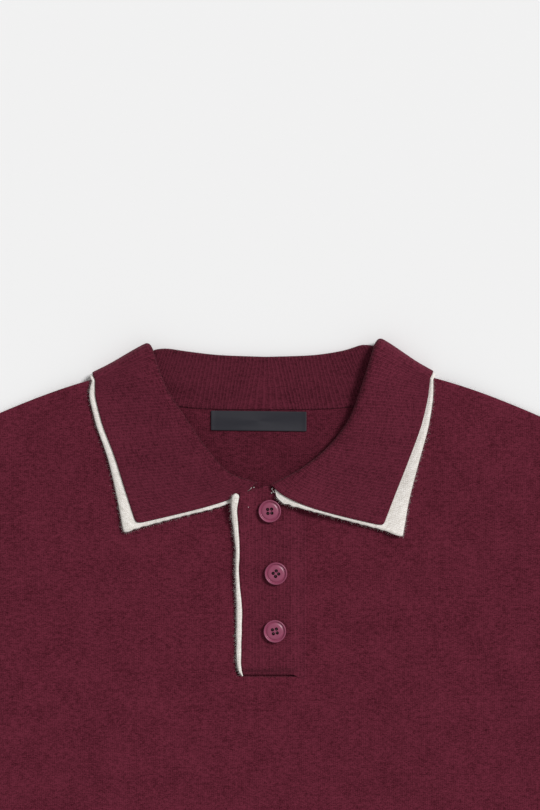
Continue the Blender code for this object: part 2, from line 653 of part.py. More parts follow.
# Half of its outline, from the middle of its back round the raised rim to the middle of its face
BUTTON_OUTLINE = [
    dict(reach=0.0, high=0.0),
    dict(reach=BUTTON_ACROSS / 2 - 1.2, high=0.0),
    dict(reach=BUTTON_ACROSS / 2, high=0.9),
    dict(reach=BUTTON_ACROSS / 2, high=BUTTON_THICK - 0.6),
    dict(reach=BUTTON_ACROSS / 2 - 0.9, high=BUTTON_THICK),
    dict(reach=BUTTON_ACROSS / 2 - 2.1, high=BUTTON_THICK - 0.8),
    dict(reach=0.0, high=BUTTON_THICK - 0.9),
]


def make_button(name, row):
    """A turned button with a raised rim and four drilled holes."""
    base = Vector((row["x"], row["y"], BAND_Z + CLOTH / 2 + LAID_GAP))
    bm = bmesh.new()
    profile = [bm.verts.new((point["reach"], 0, point["high"])) for point in BUTTON_OUTLINE]
    edges = [bm.edges.new(pair) for pair in zip(profile, profile[1:])]
    bmesh.ops.spin(bm, geom=profile + edges, angle=2 * math.pi, steps=20, axis=(0, 0, 1),
                   cent=(0, 0, 0), use_merge=True)
    bmesh.ops.remove_doubles(bm, verts=bm.verts, dist=0.001)
    bmesh.ops.translate(bm, verts=bm.verts, vec=base)
    button = new_object(name, bm, BUTTON_PINK, 0.35)
    holes = bmesh.new()
    for k in range(4):
        angle = math.radians(row["turn"] + 45 + 90 * k)
        made = bmesh.ops.create_cone(holes, cap_ends=True, segments=8, radius1=HOLE_ACROSS / 2,
                                     radius2=HOLE_ACROSS / 2, depth=3 * BUTTON_THICK)
        place = base + Vector((math.cos(angle), math.sin(angle), 0)) * HOLE_REACH
        bmesh.ops.translate(holes, verts=made["verts"], vec=place)
    drill = new_object(name + "_drill", holes, BUTTON_PINK)
    drill.hide_render = True
    drill.display_type = "WIRE"
    cut = button.modifiers.new("holes", "BOOLEAN")
    cut.object = drill
    cut.operation = "DIFFERENCE"


# Label under the back neck seam, bare
LABEL_LEFT, LABEL_RIGHT = -41.2, 30.3
LABEL_TOP, LABEL_BOTTOM = -30.3, -45.2
LABEL_THICK = 0.5


def make_label():
    grid = [[Vector((x, y, 0)) for x in spread(LABEL_LEFT, LABEL_RIGHT, 8)]
            for y in spread(LABEL_BOTTOM, LABEL_TOP, 3)]
    lie = CLOTH / 2 + LAID_GAP + LABEL_THICK / 2
    sheet("neck_label", grid, lambda x, y: back_height(x, y) + lie, LABEL_BLACK, LABEL_THICK)


for old in list(bpy.data.objects):
    bpy.data.objects.remove(old)

make_panels()
make_placket()
make_hem()
for side, word in ((-1, "left"), (1, "right")):
    make_sleeve(side, "sleeve_" + word)
    make_cuff(side, "cuff_rib_" + word)
make_collar()
for number, row in enumerate(BUTTONS, 1):
    make_button("button_%d" % number, row)
make_label()
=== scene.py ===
"""Knitted polo sweater with a folded two-tone collar, laid flat on a pale table."""
import math
import random

import bmesh
import bpy
from mathutils import Matrix, Vector, noise


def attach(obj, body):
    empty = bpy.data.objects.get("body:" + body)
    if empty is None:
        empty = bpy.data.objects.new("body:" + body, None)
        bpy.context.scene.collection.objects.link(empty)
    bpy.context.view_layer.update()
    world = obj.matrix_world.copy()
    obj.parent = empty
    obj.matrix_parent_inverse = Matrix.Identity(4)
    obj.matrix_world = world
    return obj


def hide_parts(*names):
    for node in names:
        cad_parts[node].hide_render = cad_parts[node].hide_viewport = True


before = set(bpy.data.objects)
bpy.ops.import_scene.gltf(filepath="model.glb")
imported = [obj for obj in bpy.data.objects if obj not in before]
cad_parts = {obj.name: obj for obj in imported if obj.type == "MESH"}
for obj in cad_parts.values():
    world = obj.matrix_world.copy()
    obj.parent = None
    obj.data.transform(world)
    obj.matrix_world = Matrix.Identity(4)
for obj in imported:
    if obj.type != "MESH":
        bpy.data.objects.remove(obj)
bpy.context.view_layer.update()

# ----------------------------------------
# Body: the back and the front are two flat-knitted panels of brushed fine jersey, some 1.6 mm
# thick, linked together at the shoulders and the sides. The front is knitted open in the middle
# for the placket, and both lie on the table with a little air between them.
MM = 0.001
CENTRE_Y = 338.3         # from the garment's middle up to the shoulders' high points
JERSEY = 1.6
BACK_Z, FRONT_Z = 0.9, 3.5
AXIS_Z = (BACK_Z + FRONT_Z) / 2
NECK_HALF, FRONT_NECK_DROP, BACK_NECK_DROP, BACK_NECK_POWER = 94.0, 88.0, 28.0, 3.5
SHOULDER_HALF, SHOULDER_DROP, SHOULDER_CURVE = 230.0, 46.0, 1.42
ARMHOLE_INNER = {-1: 200.5, 1: 206.0}
ARMHOLE_WAIST, ARMHOLE_HOLLOW = 0.6, 2.6
UNDERARM_HALF, UNDERARM_Y = 280.0, -229.0
RIB_TOP_HALF, RIB_TOP_Y = 263.0, -635.0
NOTCH_LEFT, NOTCH_RIGHT = -21.8, 27.8
LEAF_LIFT = dict(high=4.3, from_y=-48.0, from_x=136.0, ramp=60.0)


def rows_of(columns, *rows):
    """A table's rows, with the values by their columns' names."""
    return [dict(zip(columns.split(), row)) for row in rows]


# Soft swells and troughs of the top layer: middle, direction, half lengths and height
FOLDS = rows_of("x y turn long wide high",
    (-118, -330, 78, 190, 46, 2.2),
    (132, -300, 100, 170, 52, 1.8),
    (30, -420, 84, 150, 40, 1.5),
    (-60, -560, 70, 90, 34, 1.6),
    (170, -520, 110, 110, 38, 1.7),
    (-188, -255, 58, 70, 22, 2.0),
    (196, -245, 124, 66, 22, 1.8),
    (340, -190, -62, 95, 26, 2.4),
    (-345, -196, -118, 95, 26, 2.4),
    (430, -400, -70, 90, 22, 1.8),
    (-424, -385, -110, 80, 22, 1.8),
    (-196, -112, 93, 62, 9, -0.7),
    (-232, -262, 38, 52, 7, -0.7),
    (-214, -300, 52, 74, 9, -0.6),
    (236, -256, 146, 46, 7, -0.7),
    (222, -292, 128, 66, 8, -0.6),
    (-150, -420, 96, 120, 12, -0.5),
    (92, -470, 80, 104, 11, -0.5),
    (-20, -590, 88, 44, 8, -0.5),
    (215, -596, 97, 40, 7, -0.5),
    (-205, -600, 84, 36, 8, -0.5),
    (108, -604, 91, 32, 7, -0.4),
    (448, -186, 28, 34, 8, -0.8),
    (440, -212, 38, 46, 9, 1.2),
    (436, -236, 33, 40, 7, -0.7),
    (-452, -190, -31, 32, 8, -0.8),
    (-441, -214, -36, 48, 9, 1.2),
    (-433, -240, -30, 38, 7, -0.7),
    (322, -236, -40, 44, 8, -0.6),
    (-318, -238, 220, 42, 8, -0.6),
    (462, -480, -76, 62, 9, -0.6),
    (-470, -470, -104, 58, 9, -0.6))
CALM_COLLAR = dict(half=150.0, low=-150.0, fade_x=40.0, fade_y=60.0)
CALM_PLACKET = dict(half=35.0, low=-227.6, fade_x=35.0, fade_y=50.0)
# Puckers where the placket's foot is caught in the front
PUCKERS = rows_of("x y turn long wide high",
    (-3, -232.0, 3, 34, 3.4, -0.8),
    (16, -233.5, -6, 22, 3.0, -0.6),
    (-12, -241.0, 64, 12, 3.0, 0.5),
    (22, -243.0, 108, 14, 3.4, 0.4))


def ease(t):
    t = min(max(t, 0.0), 1.0)
    return t * t * (3 - 2 * t)


def mix(a, b, t):
    return a + (b - a) * t


def spread(first, last, steps):
    return [mix(first, last, i / steps) for i in range(steps + 1)]


def leaf_lift(x, y):
    """The back leaf of the collar lies under the back and lifts the neck."""
    row = LEAF_LIFT
    along = ease((y - row["from_y"]) / row["ramp"] + 1)
    return row["high"] * along * ease((row["from_x"] - abs(x)) / row["ramp"] + 1)


def folds_at(rows, x, y):
    height = 0.0
    for row in rows:
        turn = math.radians(row["turn"])
        dx, dy = x - row["x"], y - row["y"]
        along = (dx * math.cos(turn) + dy * math.sin(turn)) / row["long"]
        across = (dy * math.cos(turn) - dx * math.sin(turn)) / row["wide"]
        height += row["high"] * ease(1 - math.hypot(along, across))
    return height


def crumple(x, y):
    """Faint unevenness of knitted cloth that was smoothed out by hand."""
    wide, fine = Vector((x / 34, y / 42, 3.7)), Vector((x / 11, y / 12, 9.1))
    return 0.22 * noise.noise(wide) + 0.1 * noise.noise(fine)


def front_height(x, y):
    calm = 0.0
    for row in (CALM_COLLAR, CALM_PLACKET):
        along = ease((y - row["low"]) / row["fade_y"] + 1)
        across = ease((row["half"] - abs(x)) / row["fade_x"] + 1)
        calm = max(calm, along * across)
    return (FRONT_Z + leaf_lift(x, y) + folds_at(FOLDS, x, y) * (1 - calm)
            + folds_at(PUCKERS, x, y) + crumple(x, y))


def back_height(x, y):
    return BACK_Z + leaf_lift(x, y) + 0.5 * crumple(x + 300, y)


def front_neck_y(x):
    return -FRONT_NECK_DROP * math.sqrt(max(1 - (x / NECK_HALF) ** 2, 0))


def back_neck_y(x):
    rest = max(1 - abs(x / NECK_HALF) ** BACK_NECK_POWER, 0)
    return -BACK_NECK_DROP * rest ** (1 / BACK_NECK_POWER)


def shoulder_y(half):
    out = max(half - NECK_HALF, 0) / (SHOULDER_HALF - NECK_HALF)
    return -SHOULDER_DROP * out ** SHOULDER_CURVE


def armhole_half(side, rise):
    """Half width at the armhole, for a rise from 0 at the underarm to 1 at the shoulder."""
    inner = ARMHOLE_INNER[side]
    if rise < ARMHOLE_WAIST:
        return inner + (UNDERARM_HALF - inner) * (1 - rise / ARMHOLE_WAIST) ** ARMHOLE_HOLLOW
    return inner + (SHOULDER_HALF - inner) * ((rise - ARMHOLE_WAIST) / (1 - ARMHOLE_WAIST)) ** 2


def panel_place(side, x, share, rise, neck_y):
    """A point of a body panel in plan: rise runs from -1 at the rib to 1 at the top."""
    if rise <= 0:
        y = mix(UNDERARM_Y, RIB_TOP_Y, -rise)
        half = mix(UNDERARM_HALF, RIB_TOP_HALF, -rise)
    else:
        half = armhole_half(side, rise) if side else 0
        top = shoulder_y(mix(NECK_HALF, SHOULDER_HALF, share)) if side else neck_y(x)
        y = mix(UNDERARM_Y, top, rise)
    if side:
        x = side * mix(NECK_HALF, half, share)
    return x, y


def add_object(name, data):
    obj = bpy.data.objects.new(name, data)
    bpy.context.scene.collection.objects.link(obj)
    return obj


def add_mesh(name, bm):
    mesh = bpy.data.meshes.new(name)
    bm.to_mesh(mesh)
    bm.free()
    return add_object(name, mesh)


def lay_cloth(name, places, cuts, ring=False, holes=()):
    """Cloth through rows of places in millimetres; its cut is a UV map in metres."""
    rows, count = len(places), len(places[0])
    bm = bmesh.new()
    bmesh.ops.create_grid(bm, x_segments=count - 1, y_segments=rows - 1, size=0.5)
    cut = bm.loops.layers.uv.new("cut")
    spots = {v: (round((v.co.y + 0.5) * (rows - 1)), round((v.co.x + 0.5) * (count - 1)))
             for v in bm.verts}
    open_cells = set(holes)
    gone = []
    for face in bm.faces:
        cell = (min(spots[v][0] for v in face.verts), min(spots[v][1] for v in face.verts))
        if cell in open_cells:
            gone.append(face)
            continue
        for loop in face.loops:
            i, j = spots[loop.vert]
            loop[cut].uv = cuts[i][j]
    for v, (i, j) in spots.items():
        x, y, z = places[i][j]
        v.co = (x * MM, (CENTRE_Y + y) * MM, z * MM)
    bmesh.ops.delete(bm, geom=gone, context="FACES")
    if ring:
        bmesh.ops.remove_doubles(bm, verts=bm.verts, dist=0.00001)
        bmesh.ops.recalc_face_normals(bm, faces=bm.faces)
    obj = add_mesh(name, bm)
    obj.data.shade_smooth()
    return obj


def dress(obj, material, node=None, thickness=None):
    """Puts a piece on the garment's body, in the place of its CAD node. Knitted cloth
    is soft and round at its edges."""
    if thickness:
        wall = obj.modifiers.new("thickness", "SOLIDIFY")
        wall.thickness = thickness * MM
        wall.offset = 0
        soft = obj.modifiers.new("soft edges", "SUBSURF")
        soft.levels = soft.render_levels = 1
    obj.data.materials.append(material)
    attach(obj, "root")
    if node:
        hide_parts(node)
    return obj


def plug(tree, node, inputs):
    """Sets a node's inputs, or links them where the value is another node's socket."""
    for key, value in dict(inputs).items():
        if isinstance(value, bpy.types.NodeSocket):
            tree.links.new(value, node.inputs[key])
        else:
            node.inputs[key].default_value = value


def add_node(tree, kind, inputs=(), **settings):
    node = tree.nodes.new("ShaderNode" + kind)
    for key, value in settings.items():
        setattr(node, key, value)
    plug(tree, node, inputs)
    return node.outputs


def new_material(name, inputs):
    material = bpy.data.materials.new(name)
    material.use_nodes = True
    plug(material.node_tree, material.node_tree.nodes["Principled BSDF"], inputs)
    return material, material.node_tree


def two_tone(tree, factor, low, high):
    """The shader's colour, between two colours."""
    mixed = add_node(tree, "Mix", {"Factor": factor, "A": (*low, 1), "B": (*high, 1)},
                     data_type="RGBA")
    plug(tree, tree.nodes["Principled BSDF"], {"Base Color": mixed["Result"]})


def bump(tree, height, strength, distance):
    bumped = add_node(tree, "Bump", {"Height": height, "Strength": strength, "Distance": distance})
    plug(tree, tree.nodes["Principled BSDF"], {"Normal": bumped["Normal"]})


# Knit as a node group: columns of slanting stitches on the cut, with its own unevenness
def knit_pattern():
    group = bpy.data.node_groups.new("plain knit", "ShaderNodeTree")
    face = group.interface
    face.new_socket("Cut", in_out="INPUT", socket_type="NodeSocketVector")
    for name, value in (("Wale", 0.0015), ("Course", 0.0012), ("Rib", 0.0)):
        face.new_socket(name, in_out="INPUT", socket_type="NodeSocketFloat").default_value = value
    for name in ("Height", "Shade", "Heather"):
        face.new_socket(name, in_out="OUTPUT", socket_type="NodeSocketFloat")
    entry = group.nodes.new("NodeGroupInput").outputs

    def calc(operation, *values):
        return add_node(group, "Math", dict(enumerate(values)), operation=operation)[0]

    def grain(scale, detail, stretch=None):
        source = entry["Cut"]
        if stretch:
            source = add_node(group, "Mapping", {"Vector": source, "Scale": stretch})[0]
        return add_node(group, "TexNoise",
                        {"Vector": source, "Scale": scale, "Detail": detail})["Fac"]

    def uneven(fac, middle, strength):
        return calc("MULTIPLY", calc("SUBTRACT", fac, middle), strength)

    split = add_node(group, "SeparateXYZ", {0: entry["Cut"]})
    sway = uneven(grain(160, 2), 0.5, 1.3)
    across = calc("ADD", calc("DIVIDE", split[0], entry["Wale"]), sway)
    along = calc("ADD", calc("DIVIDE", split[1], entry["Course"]), sway)
    column = calc("MULTIPLY", calc("PINGPONG", across, 0.5), 2.0)
    crown = calc("SUBTRACT", 1.0, calc("POWER", calc("SUBTRACT", 1.0, column), 2.0))
    slant = calc("ADD", along, calc("MULTIPLY", column, 0.6))
    stitch = calc("MULTIPLY_ADD", calc("SINE", calc("MULTIPLY", slant, 2 * math.pi)), 0.25, 0.5)
    ribs = calc("MULTIPLY_ADD", calc("SINE", calc("MULTIPLY", across, math.pi)), 0.5, 0.5)
    ribs = calc("MULTIPLY", ribs, entry["Rib"])
    loops = calc("MULTIPLY", calc("MULTIPLY", crown, stitch), 0.7)
    relief = calc("ADD", calc("MULTIPLY_ADD", grain(1500, 4), 0.7, loops), ribs)
    # The Shade output darkens the hollows between the loops and the ribs: painted shade, beside the
    # bump's relief
    shade = calc("MULTIPLY_ADD", crown, 0.55, calc("MULTIPLY", stitch, 0.45))
    flecks = uneven(calc("ADD", grain(520, 4, (1, 2.3, 1)), grain(1150, 2, (1.6, 1, 1))), 1.0, 2.0)
    tufts = uneven(grain(210, 3, (1, 1.9, 1)), 0.5, 1.3)
    clouds = uneven(grain(50, 3), 0.5, 0.62)
    heather = calc("ADD", calc("ADD", calc("ADD", clouds, tufts), flecks), 0.5)
    plug(group, group.nodes.new("NodeGroupOutput"),
         {"Height": relief, "Shade": calc("MULTIPLY_ADD", ribs, 0.8, shade), "Heather": heather})
    return group


plain_knit = knit_pattern()
YARN_SPAN, YARN_BASE = 0.55, -0.27       # how far the shade carries the colour, and from where
KNIT_BUMP = 0.0004


def knit_material(name, deep, pale, wale, course, rib=0.0, relief=0.5, sheen=0.08,
                  tint=(1, 0.6, 0.65), roll_shade=0.0):
    """Yarn colours, darkest in the stitches' hollows as painted shade and palest on their crowns,
    with heather and nap.
    """
    material, tree = new_material(name, {
        "Roughness": 0.92, "Specular IOR Level": 0.1, "Sheen Weight": sheen,
        "Sheen Roughness": 0.45, "Sheen Tint": (*tint, 1)})

    def multiply_add(a, b, c, **settings):
        return add_node(tree, "Math", {0: a, 1: b, 2: c}, operation="MULTIPLY_ADD", **settings)[0]

    cut = add_node(tree, "UVMap", uv_map="cut")["UV"]
    knit = add_node(tree, "Group", {"Cut": cut, "Wale": wale, "Course": course, "Rib": rib},
                    node_tree=plain_knit)
    lean = multiply_add(knit["Heather"], 1.0, YARN_BASE)
    # Where the collar's attribute is set, the colour is darkened: painted shade on the roll
    if roll_shade:
        open_rib_shade = add_node(tree, "Attribute", attribute_name="open_rib_shade")["Fac"]
        lean = multiply_add(open_rib_shade, -roll_shade, lean)
    two_tone(tree, multiply_add(knit["Shade"], YARN_SPAN, lean, use_clamp=True), deep, pale)
    bump(tree, knit["Height"], relief, KNIT_BUMP)
    return material


WINE_DEEP, WINE_PALE = (0.046, 0.0036, 0.0092), (0.138, 0.0182, 0.0365)
jersey = knit_material("wine jersey", WINE_DEEP, WINE_PALE, 0.0014, 0.0013)

# Inside the neck the knit shows its purl side. Its colours are darker than the jersey's: partly the
# purl side, partly painted shade where the collar shades the inside of the neck
SHADED_PURL_DEEP, SHADED_PURL_PALE = (0.035, 0.0028, 0.0072), (0.112, 0.0145, 0.0292)
shaded_purl = knit_material("wine jersey, purl side", SHADED_PURL_DEEP, SHADED_PURL_PALE, 0.0014, 0.0013, relief=0.8)

middle_xs = ([-NECK_HALF * math.cos(a) for a in spread(0, math.acos(-NOTCH_LEFT / NECK_HALF), 18)]
             + spread(NOTCH_LEFT, NOTCH_RIGHT, 10)[1:-1]
             + [NECK_HALF * math.cos(a) for a in spread(math.acos(NOTCH_RIGHT / NECK_HALF), 0, 18)])
outer_shares = spread(0, 1, 26)[1:]
panel_columns = ([(-1, 0, share) for share in reversed(outer_shares)]
                 + [(0, x, 0) for x in middle_xs] + [(1, 0, share) for share in outer_shares])
panel_rises = spread(-1, 0, 50)[:-1] + spread(0, 1, 34)
back_rises = spread(-1, 0, 22)[:-1] + spread(0, 1, 14)


def make_panel(name, node, rises, neck_y, height, material, holes=()):
    plans = [[panel_place(*column, rise, neck_y) for column in panel_columns] for rise in rises]
    places = [[(x, y, height(x, y)) for x, y in row] for row in plans]
    cuts = [[(x * MM, y * MM) for x, y in row] for row in plans]
    panel = lay_cloth(name, places, cuts, holes=holes)
    return dress(panel, material, node, JERSEY)


notch_columns = [j for j, c in enumerate(panel_columns)
                 if c[0] == 0 and NOTCH_LEFT - 0.1 < c[1] < NOTCH_RIGHT + 0.1][:-1]
notch = [(i, j) for i in range(panel_rises.index(0), len(panel_rises) - 1) for j in notch_columns]
# The back panel takes the darker purl colours: painted shade inside the neck
back = make_panel("back_jersey", "back_panel", back_rises, back_neck_y, back_height, shaded_purl)
front = make_panel("front_jersey", "front_panel", panel_rises, front_neck_y, front_height,
                   jersey, notch)

# ----------------------------------------
# Sleeves: each is one knitted panel of the same jersey, linked along the underarm into a tube and
# set into the armhole. It lies flattened, bent at the elbow and turned in towards the side.
SLEEVE = rows_of("at outer_x outer_y inner_x inner_y bend",
    (0.00, 230.0, -46.0, 280.0, -229.0, 1.0),
    (0.16, 300.0, -77.0, 281.6, -228.2, 0.7),
    (0.34, 376.0, -112.0, 283.6, -229.2, 0.3),
    (0.48, 432.0, -144.0, 288.5, -238.0, 0.0),
    (0.60, 474.0, -214.0, 318.0, -300.0, 0.0),
    (0.76, 501.0, -340.0, 364.0, -398.0, 0.0),
    (1.00, 527.0, -533.0, 422.0, -556.0, 0.0))
SLEEVE_LENGTH = 0.545    # of the cut, from the armhole to the cuff
SLEEVE_RISES = [0.0, 0.02, 0.05, 0.08, 0.12, 0.17, 0.22, 0.28, 0.34, 0.41, 0.48, 0.55, 0.62, 0.68,
                0.75, 0.81, 0.88, 0.93, 0.97, 1.0]
SEAM_SHUT = 0.15         # what is left open between the sleeve and the armhole


def table_slope(ats, values, i):
    last = len(ats) - 1
    steps = [(values[k + 1] - values[k]) / (ats[k + 1] - ats[k])
             for k in (max(i - 1, 0), min(i, last - 1))]
    if i in (0, last):
        return steps[0] if i == last else steps[1]
    before, after = steps
    return 0 if before * after <= 0 else 2 * before * after / (before + after)


def read_table(rows, at):
    """Values between a table's rows, on a curve that never overshoots them."""
    ats = [row["at"] for row in rows]
    k = max(i for i in range(len(rows) - 1) if ats[i] <= at or i == 0)
    span = ats[k + 1] - ats[k]
    t = (at - ats[k]) / span
    result = {}
    for key in rows[0]:
        values = [row[key] for row in rows]
        first, second = table_slope(ats, values, k) * span, table_slope(ats, values, k + 1) * span
        if t < 0:
            result[key] = values[k] + first * t
        elif t > 1:
            result[key] = values[k + 1] + second * (t - 1)
        else:
            result[key] = (values[k] * (1 + 2 * t) * (1 - t) ** 2 + first * t * (1 - t) ** 2
                           + values[k + 1] * t * t * (3 - 2 * t) + second * t * t * (t - 1))
    return result


def armhole_point(side, rise):
    return Vector((side * armhole_half(side, rise),
                   mix(UNDERARM_Y, shoulder_y(SHOULDER_HALF), rise), 0))


def folds_of(side, row):
    return [Vector((side * row[end + "_x"], row[end + "_y"], 0)) for end in ("outer", "inner")]


def sleeve_line(side, at):
    """Plan points across the sleeve, from its outer fold to its inner one."""
    row = read_table(SLEEVE, at)
    outer, inner = folds_of(side, row)
    top, low = armhole_point(side, 1.0), armhole_point(side, 0.0)
    gap = Vector((side, 1, 0)) * SEAM_SHUT * ease(1 - at * 60)
    line = []
    for rise in reversed(SLEEVE_RISES):
        share = 1 - rise
        bow = armhole_point(side, rise) - top.lerp(low, share)
        line.append(outer.lerp(inner, share) + bow * row["bend"] + gap)
    return line


def flat_tube(line, top_z, bottom_z, turn_in):
    """Middle of the cloth of a flattened tube: over the line, round its fold and back under."""
    into_first = (line[1] - line[0]).normalized()
    into_last = (line[-2] - line[-1]).normalized()
    half = (FRONT_Z - BACK_Z) / 2
    plan = [line[0] + into_first * (half + turn_in), *line[1:-1],
            line[-1] + into_last * (half + turn_in)]
    over = [Vector((p.x, p.y, top_z(p.x, p.y))) for p in plan]
    under = [Vector((p.x, p.y, bottom_z(p.x, p.y))) for p in reversed(plan)]
    middle = Vector((0, 0, AXIS_Z))
    ring = [*over, line[-1] + into_last * turn_in + middle,
            *under, line[0] + into_first * turn_in + middle]
    return ring + ring[:1]


def ring_cuts(rings, length):
    """Round the tube and along it, in metres."""
    cuts = []
    for i, ring in enumerate(rings):
        round_it = [0.0]
        for a, b in zip(ring, ring[1:]):
            round_it.append(round_it[-1] + (b - a).length * MM)
        cuts.append([(d, length * i / (len(rings) - 1)) for d in round_it])
    return cuts


for side, word in ((-1, "left"), (1, "right")):
    rings = [flat_tube(sleeve_line(side, at), front_height, lambda x, y: BACK_Z, JERSEY / 2)
             for at in spread(0, 1, 80)]
    sleeve = lay_cloth("jersey_sleeve_" + word, rings, ring_cuts(rings, SLEEVE_LENGTH), ring=True)
    dress(sleeve, jersey, "sleeve_" + word, JERSEY)

# ----------------------------------------
# Rib bands: the hem and the cuffs are the same yarn in a 2 and 2 rib, which draws in and stands up
# in rounded ridges. The hem is a front and a back band, and each cuff a short tube.
RIB_PITCH, RIB_HIGH, RIB_STEPS, BACK_STEPS = 9.0, 1.4, 6, 2
HEM_LAP, HEM_WAVE = 0.6, 0.8
HEM_HALF, HEM_Y, RIB_DRAW = 250.0, -700.0, 2.0
CUFF = rows_of("outer_x outer_y inner_x inner_y",
    (521.0, -535.3, 428.0, -555.7),
    (531.0, -599.0, 440.0, -616.0))
rib_wine = knit_material("wine rib", WINE_DEEP, WINE_PALE, 0.0015, 0.0013)


def ridge(distance):
    """Height of the rib's ridges at a distance across them."""
    return RIB_HIGH * (0.5 - 0.5 * math.cos(2 * math.pi * distance / RIB_PITCH)) ** 0.5


def ridge_share(fall):
    """The ridges rise below the linked seam and end rounded at the lower edge."""
    return ease(fall * 9) * ease((1 - fall) * 14 + 0.3)


for word, base in (("back", BACK_Z), ("front", FRONT_Z)):
    steps = RIB_STEPS if base == FRONT_Z else BACK_STEPS
    count = round(2 * (RIB_TOP_HALF - RIB_DRAW) / RIB_PITCH)
    places, cuts = [], []
    for fall in spread(0, 1, 10):
        half = mix(RIB_TOP_HALF - RIB_DRAW, HEM_HALF, fall ** 0.6)
        y = mix(RIB_TOP_Y + HEM_LAP, HEM_Y, fall)
        row, cut = [], []
        for share in spread(-1, 1, count * steps):
            across = share * count / 2 * RIB_PITCH
            stand = ridge(across + RIB_PITCH / 2 * (count % 2)) if base == FRONT_Z else 0
            stand *= ridge_share(fall)
            row.append((share * half, y + HEM_WAVE * math.sin(share * 9), base + stand))
            cut.append((across * MM, y * MM))
        places.append(row)
        cuts.append(cut)
    hem = lay_cloth("rib_hem_" + word, places[::-1], cuts[::-1])
    dress(hem, rib_wine, "hem_rib_" + word, JERSEY)

for side, word in ((-1, "left"), (1, "right")):
    ends = [folds_of(side, row) for row in CUFF]
    width = (ends[0][0] - ends[0][1]).length
    count = round(width / RIB_PITCH)
    rings = []
    for fall in spread(0, 1, 10):
        outer, inner = ends[0][0].lerp(ends[1][0], fall), ends[0][1].lerp(ends[1][1], fall)
        line = [outer.lerp(inner, share) for share in spread(0, 1, count * RIB_STEPS)]
        stand = ridge_share(fall)
        ring = flat_tube(line, lambda x, y: FRONT_Z, lambda x, y: BACK_Z, JERSEY / 2)
        for k in range(count * RIB_STEPS + 1):
            ring[k].z += stand * ridge(k * RIB_PITCH / RIB_STEPS)
        ring[-1] = ring[0]
        rings.append(ring)
    cuff = lay_cloth("rib_cuff_" + word, rings, ring_cuts(rings, 0.066), ring=True)
    dress(cuff, rib_wine, "cuff_rib_" + word, JERSEY)

# ----------------------------------------
# Placket: two bands of fine rib, the top one lapped over the under one and down onto the front at
# its linked side. The top band's free edge is bound in cream, and its foot is caught in the front.
BAND_LEFT, BAND_RIGHT, BAND_BOTTOM = -19.5, 27.4, -227.6
UNDER_BAND_RIGHT, BAND_STEP_AT = 17.5, 18.5
BAND_Z, BAND_PAST, BAND_ON_FRONT = 6.2, 3.2, 0.06
SEAM_GAP, NECK_SEAM = 0.4, 1.0
OVER_LEAF = dict(high=4.1, right=-6.0, run_x=8.0, low=-118.0, run_y=19.0)
BAND_CORNER = dict(drop=3.6, right=-4.0)
EDGE_CURL = 1.3
# The top band's free edge: up the placket, the right side of the cream binding and its width
TIPPING = rows_of("at right wide",
    (-228.6, -17.4, 0.8), (-224.0, -18.5, 2.6), (-217.5, -18.8, 3.4), (-202.5, -18.5, 3.9),
    (-180.0, -18.0, 4.3), (-165.0, -19.3, 3.5), (-150.0, -20.4, 2.8), (-135.0, -19.9, 3.0),
    (-120.0, -20.6, 3.9), (-105.0, -21.6, 4.5), (-92.0, -19.6, 5.8))
band_rib = knit_material("wine band rib", (0.041, 0.0034, 0.0088), (0.127, 0.0172, 0.0345),
                         0.0013, 0.0013, rib=0.5, relief=0.6)
CREAM_DEEP, CREAM_PALE = (0.60, 0.555, 0.505), (0.88, 0.84, 0.80)
cream = knit_material("cream knit", CREAM_DEEP, CREAM_PALE, 0.0016, 0.0014,
                      relief=0.8, sheen=0.1, tint=(1, 1, 1))


def band_height(x, y):
    """Middle of the top band, which rides over the left leaf's end."""
    row = OVER_LEAF
    over_leaf = ease((row["right"] - x) / row["run_x"]) * ease((y - row["low"]) / row["run_y"])
    down = ease((x - BAND_STEP_AT) / (BAND_RIGHT - BAND_STEP_AT))
    curl = EDGE_CURL * ease((-9 - x) / 9) * ease((y + 200) / 60)
    lapped = mix(BAND_Z, FRONT_Z + BAND_ON_FRONT, down)
    return lapped + row["high"] * over_leaf + leaf_lift(x, y) + curl


def free_corner(x):
    return ease((BAND_CORNER["right"] - x) / (BAND_CORNER["right"] - BAND_LEFT))


def band_top_y(x):
    between_rolls = 2.6 * ease(1 - abs(x - 0.5) / 8)
    return front_neck_y(x) - NECK_SEAM - BAND_CORNER["drop"] * free_corner(x) + between_rolls


def band_lean(x, y):
    """The top band's free edge keeps to the binding."""
    return (read_table(TIPPING, y)["right"] - BAND_LEFT) * free_corner(x)


def lay_strip(name, node, xs, rises, bottom, top, height, lean):
    places, cuts = [], []
    for rise in rises:
        ys = [mix(bottom(x), top(x), rise) for x in xs]
        places.append([(x + lean(x, y), y, height(x, y)) for x, y in zip(xs, ys)])
        cuts.append([(x * MM, y * MM) for x, y in zip(xs, ys)])
    band = lay_cloth(name, places, cuts)
    return dress(band, band_rib, node, JERSEY)


def band_foot_y(x):
    """The foot meets the front in a crease that fades out on the linked side."""
    return BAND_BOTTOM - mix(FOOT_UNDER["crease"], FOOT_UNDER["linked"], ease((x - 20) / 6))


def top_band_height(x, y):
    """The top band dips at its foot and along its linked side, and its free corner is linked
    down onto the collar's end."""
    tucked = ease(1 - (band_top_y(x) - y) / 5.0) * ease((2 - x) / 6)
    above_crease = y - BAND_BOTTOM - FOOT_CURVE * ease((x - 8) / 20)
    foot = ease(1 - above_crease / 6)
    linked = ease(1 - abs(x - LINKED["x"]) / LINKED["half"])
    sewn = sum(ease(1 - (math.hypot(x - row["x"], y - row["y"]) - SEWN["flat"]) / SEWN["run"])
               for row in BUTTONS)
    high = mix(band_height(x, y), CORNER_Z, tucked) + 0.25 * crumple(x * 2, y * 2)
    groove = 0.8 * ease((24 - x) / 8)
    return (mix(high, FRONT_Z + 0.1 - groove, foot) + groove * ease(-above_crease / 1.5)
            - LINKED["deep"] * linked - SEWN["deep"] * sewn * (1 - foot))


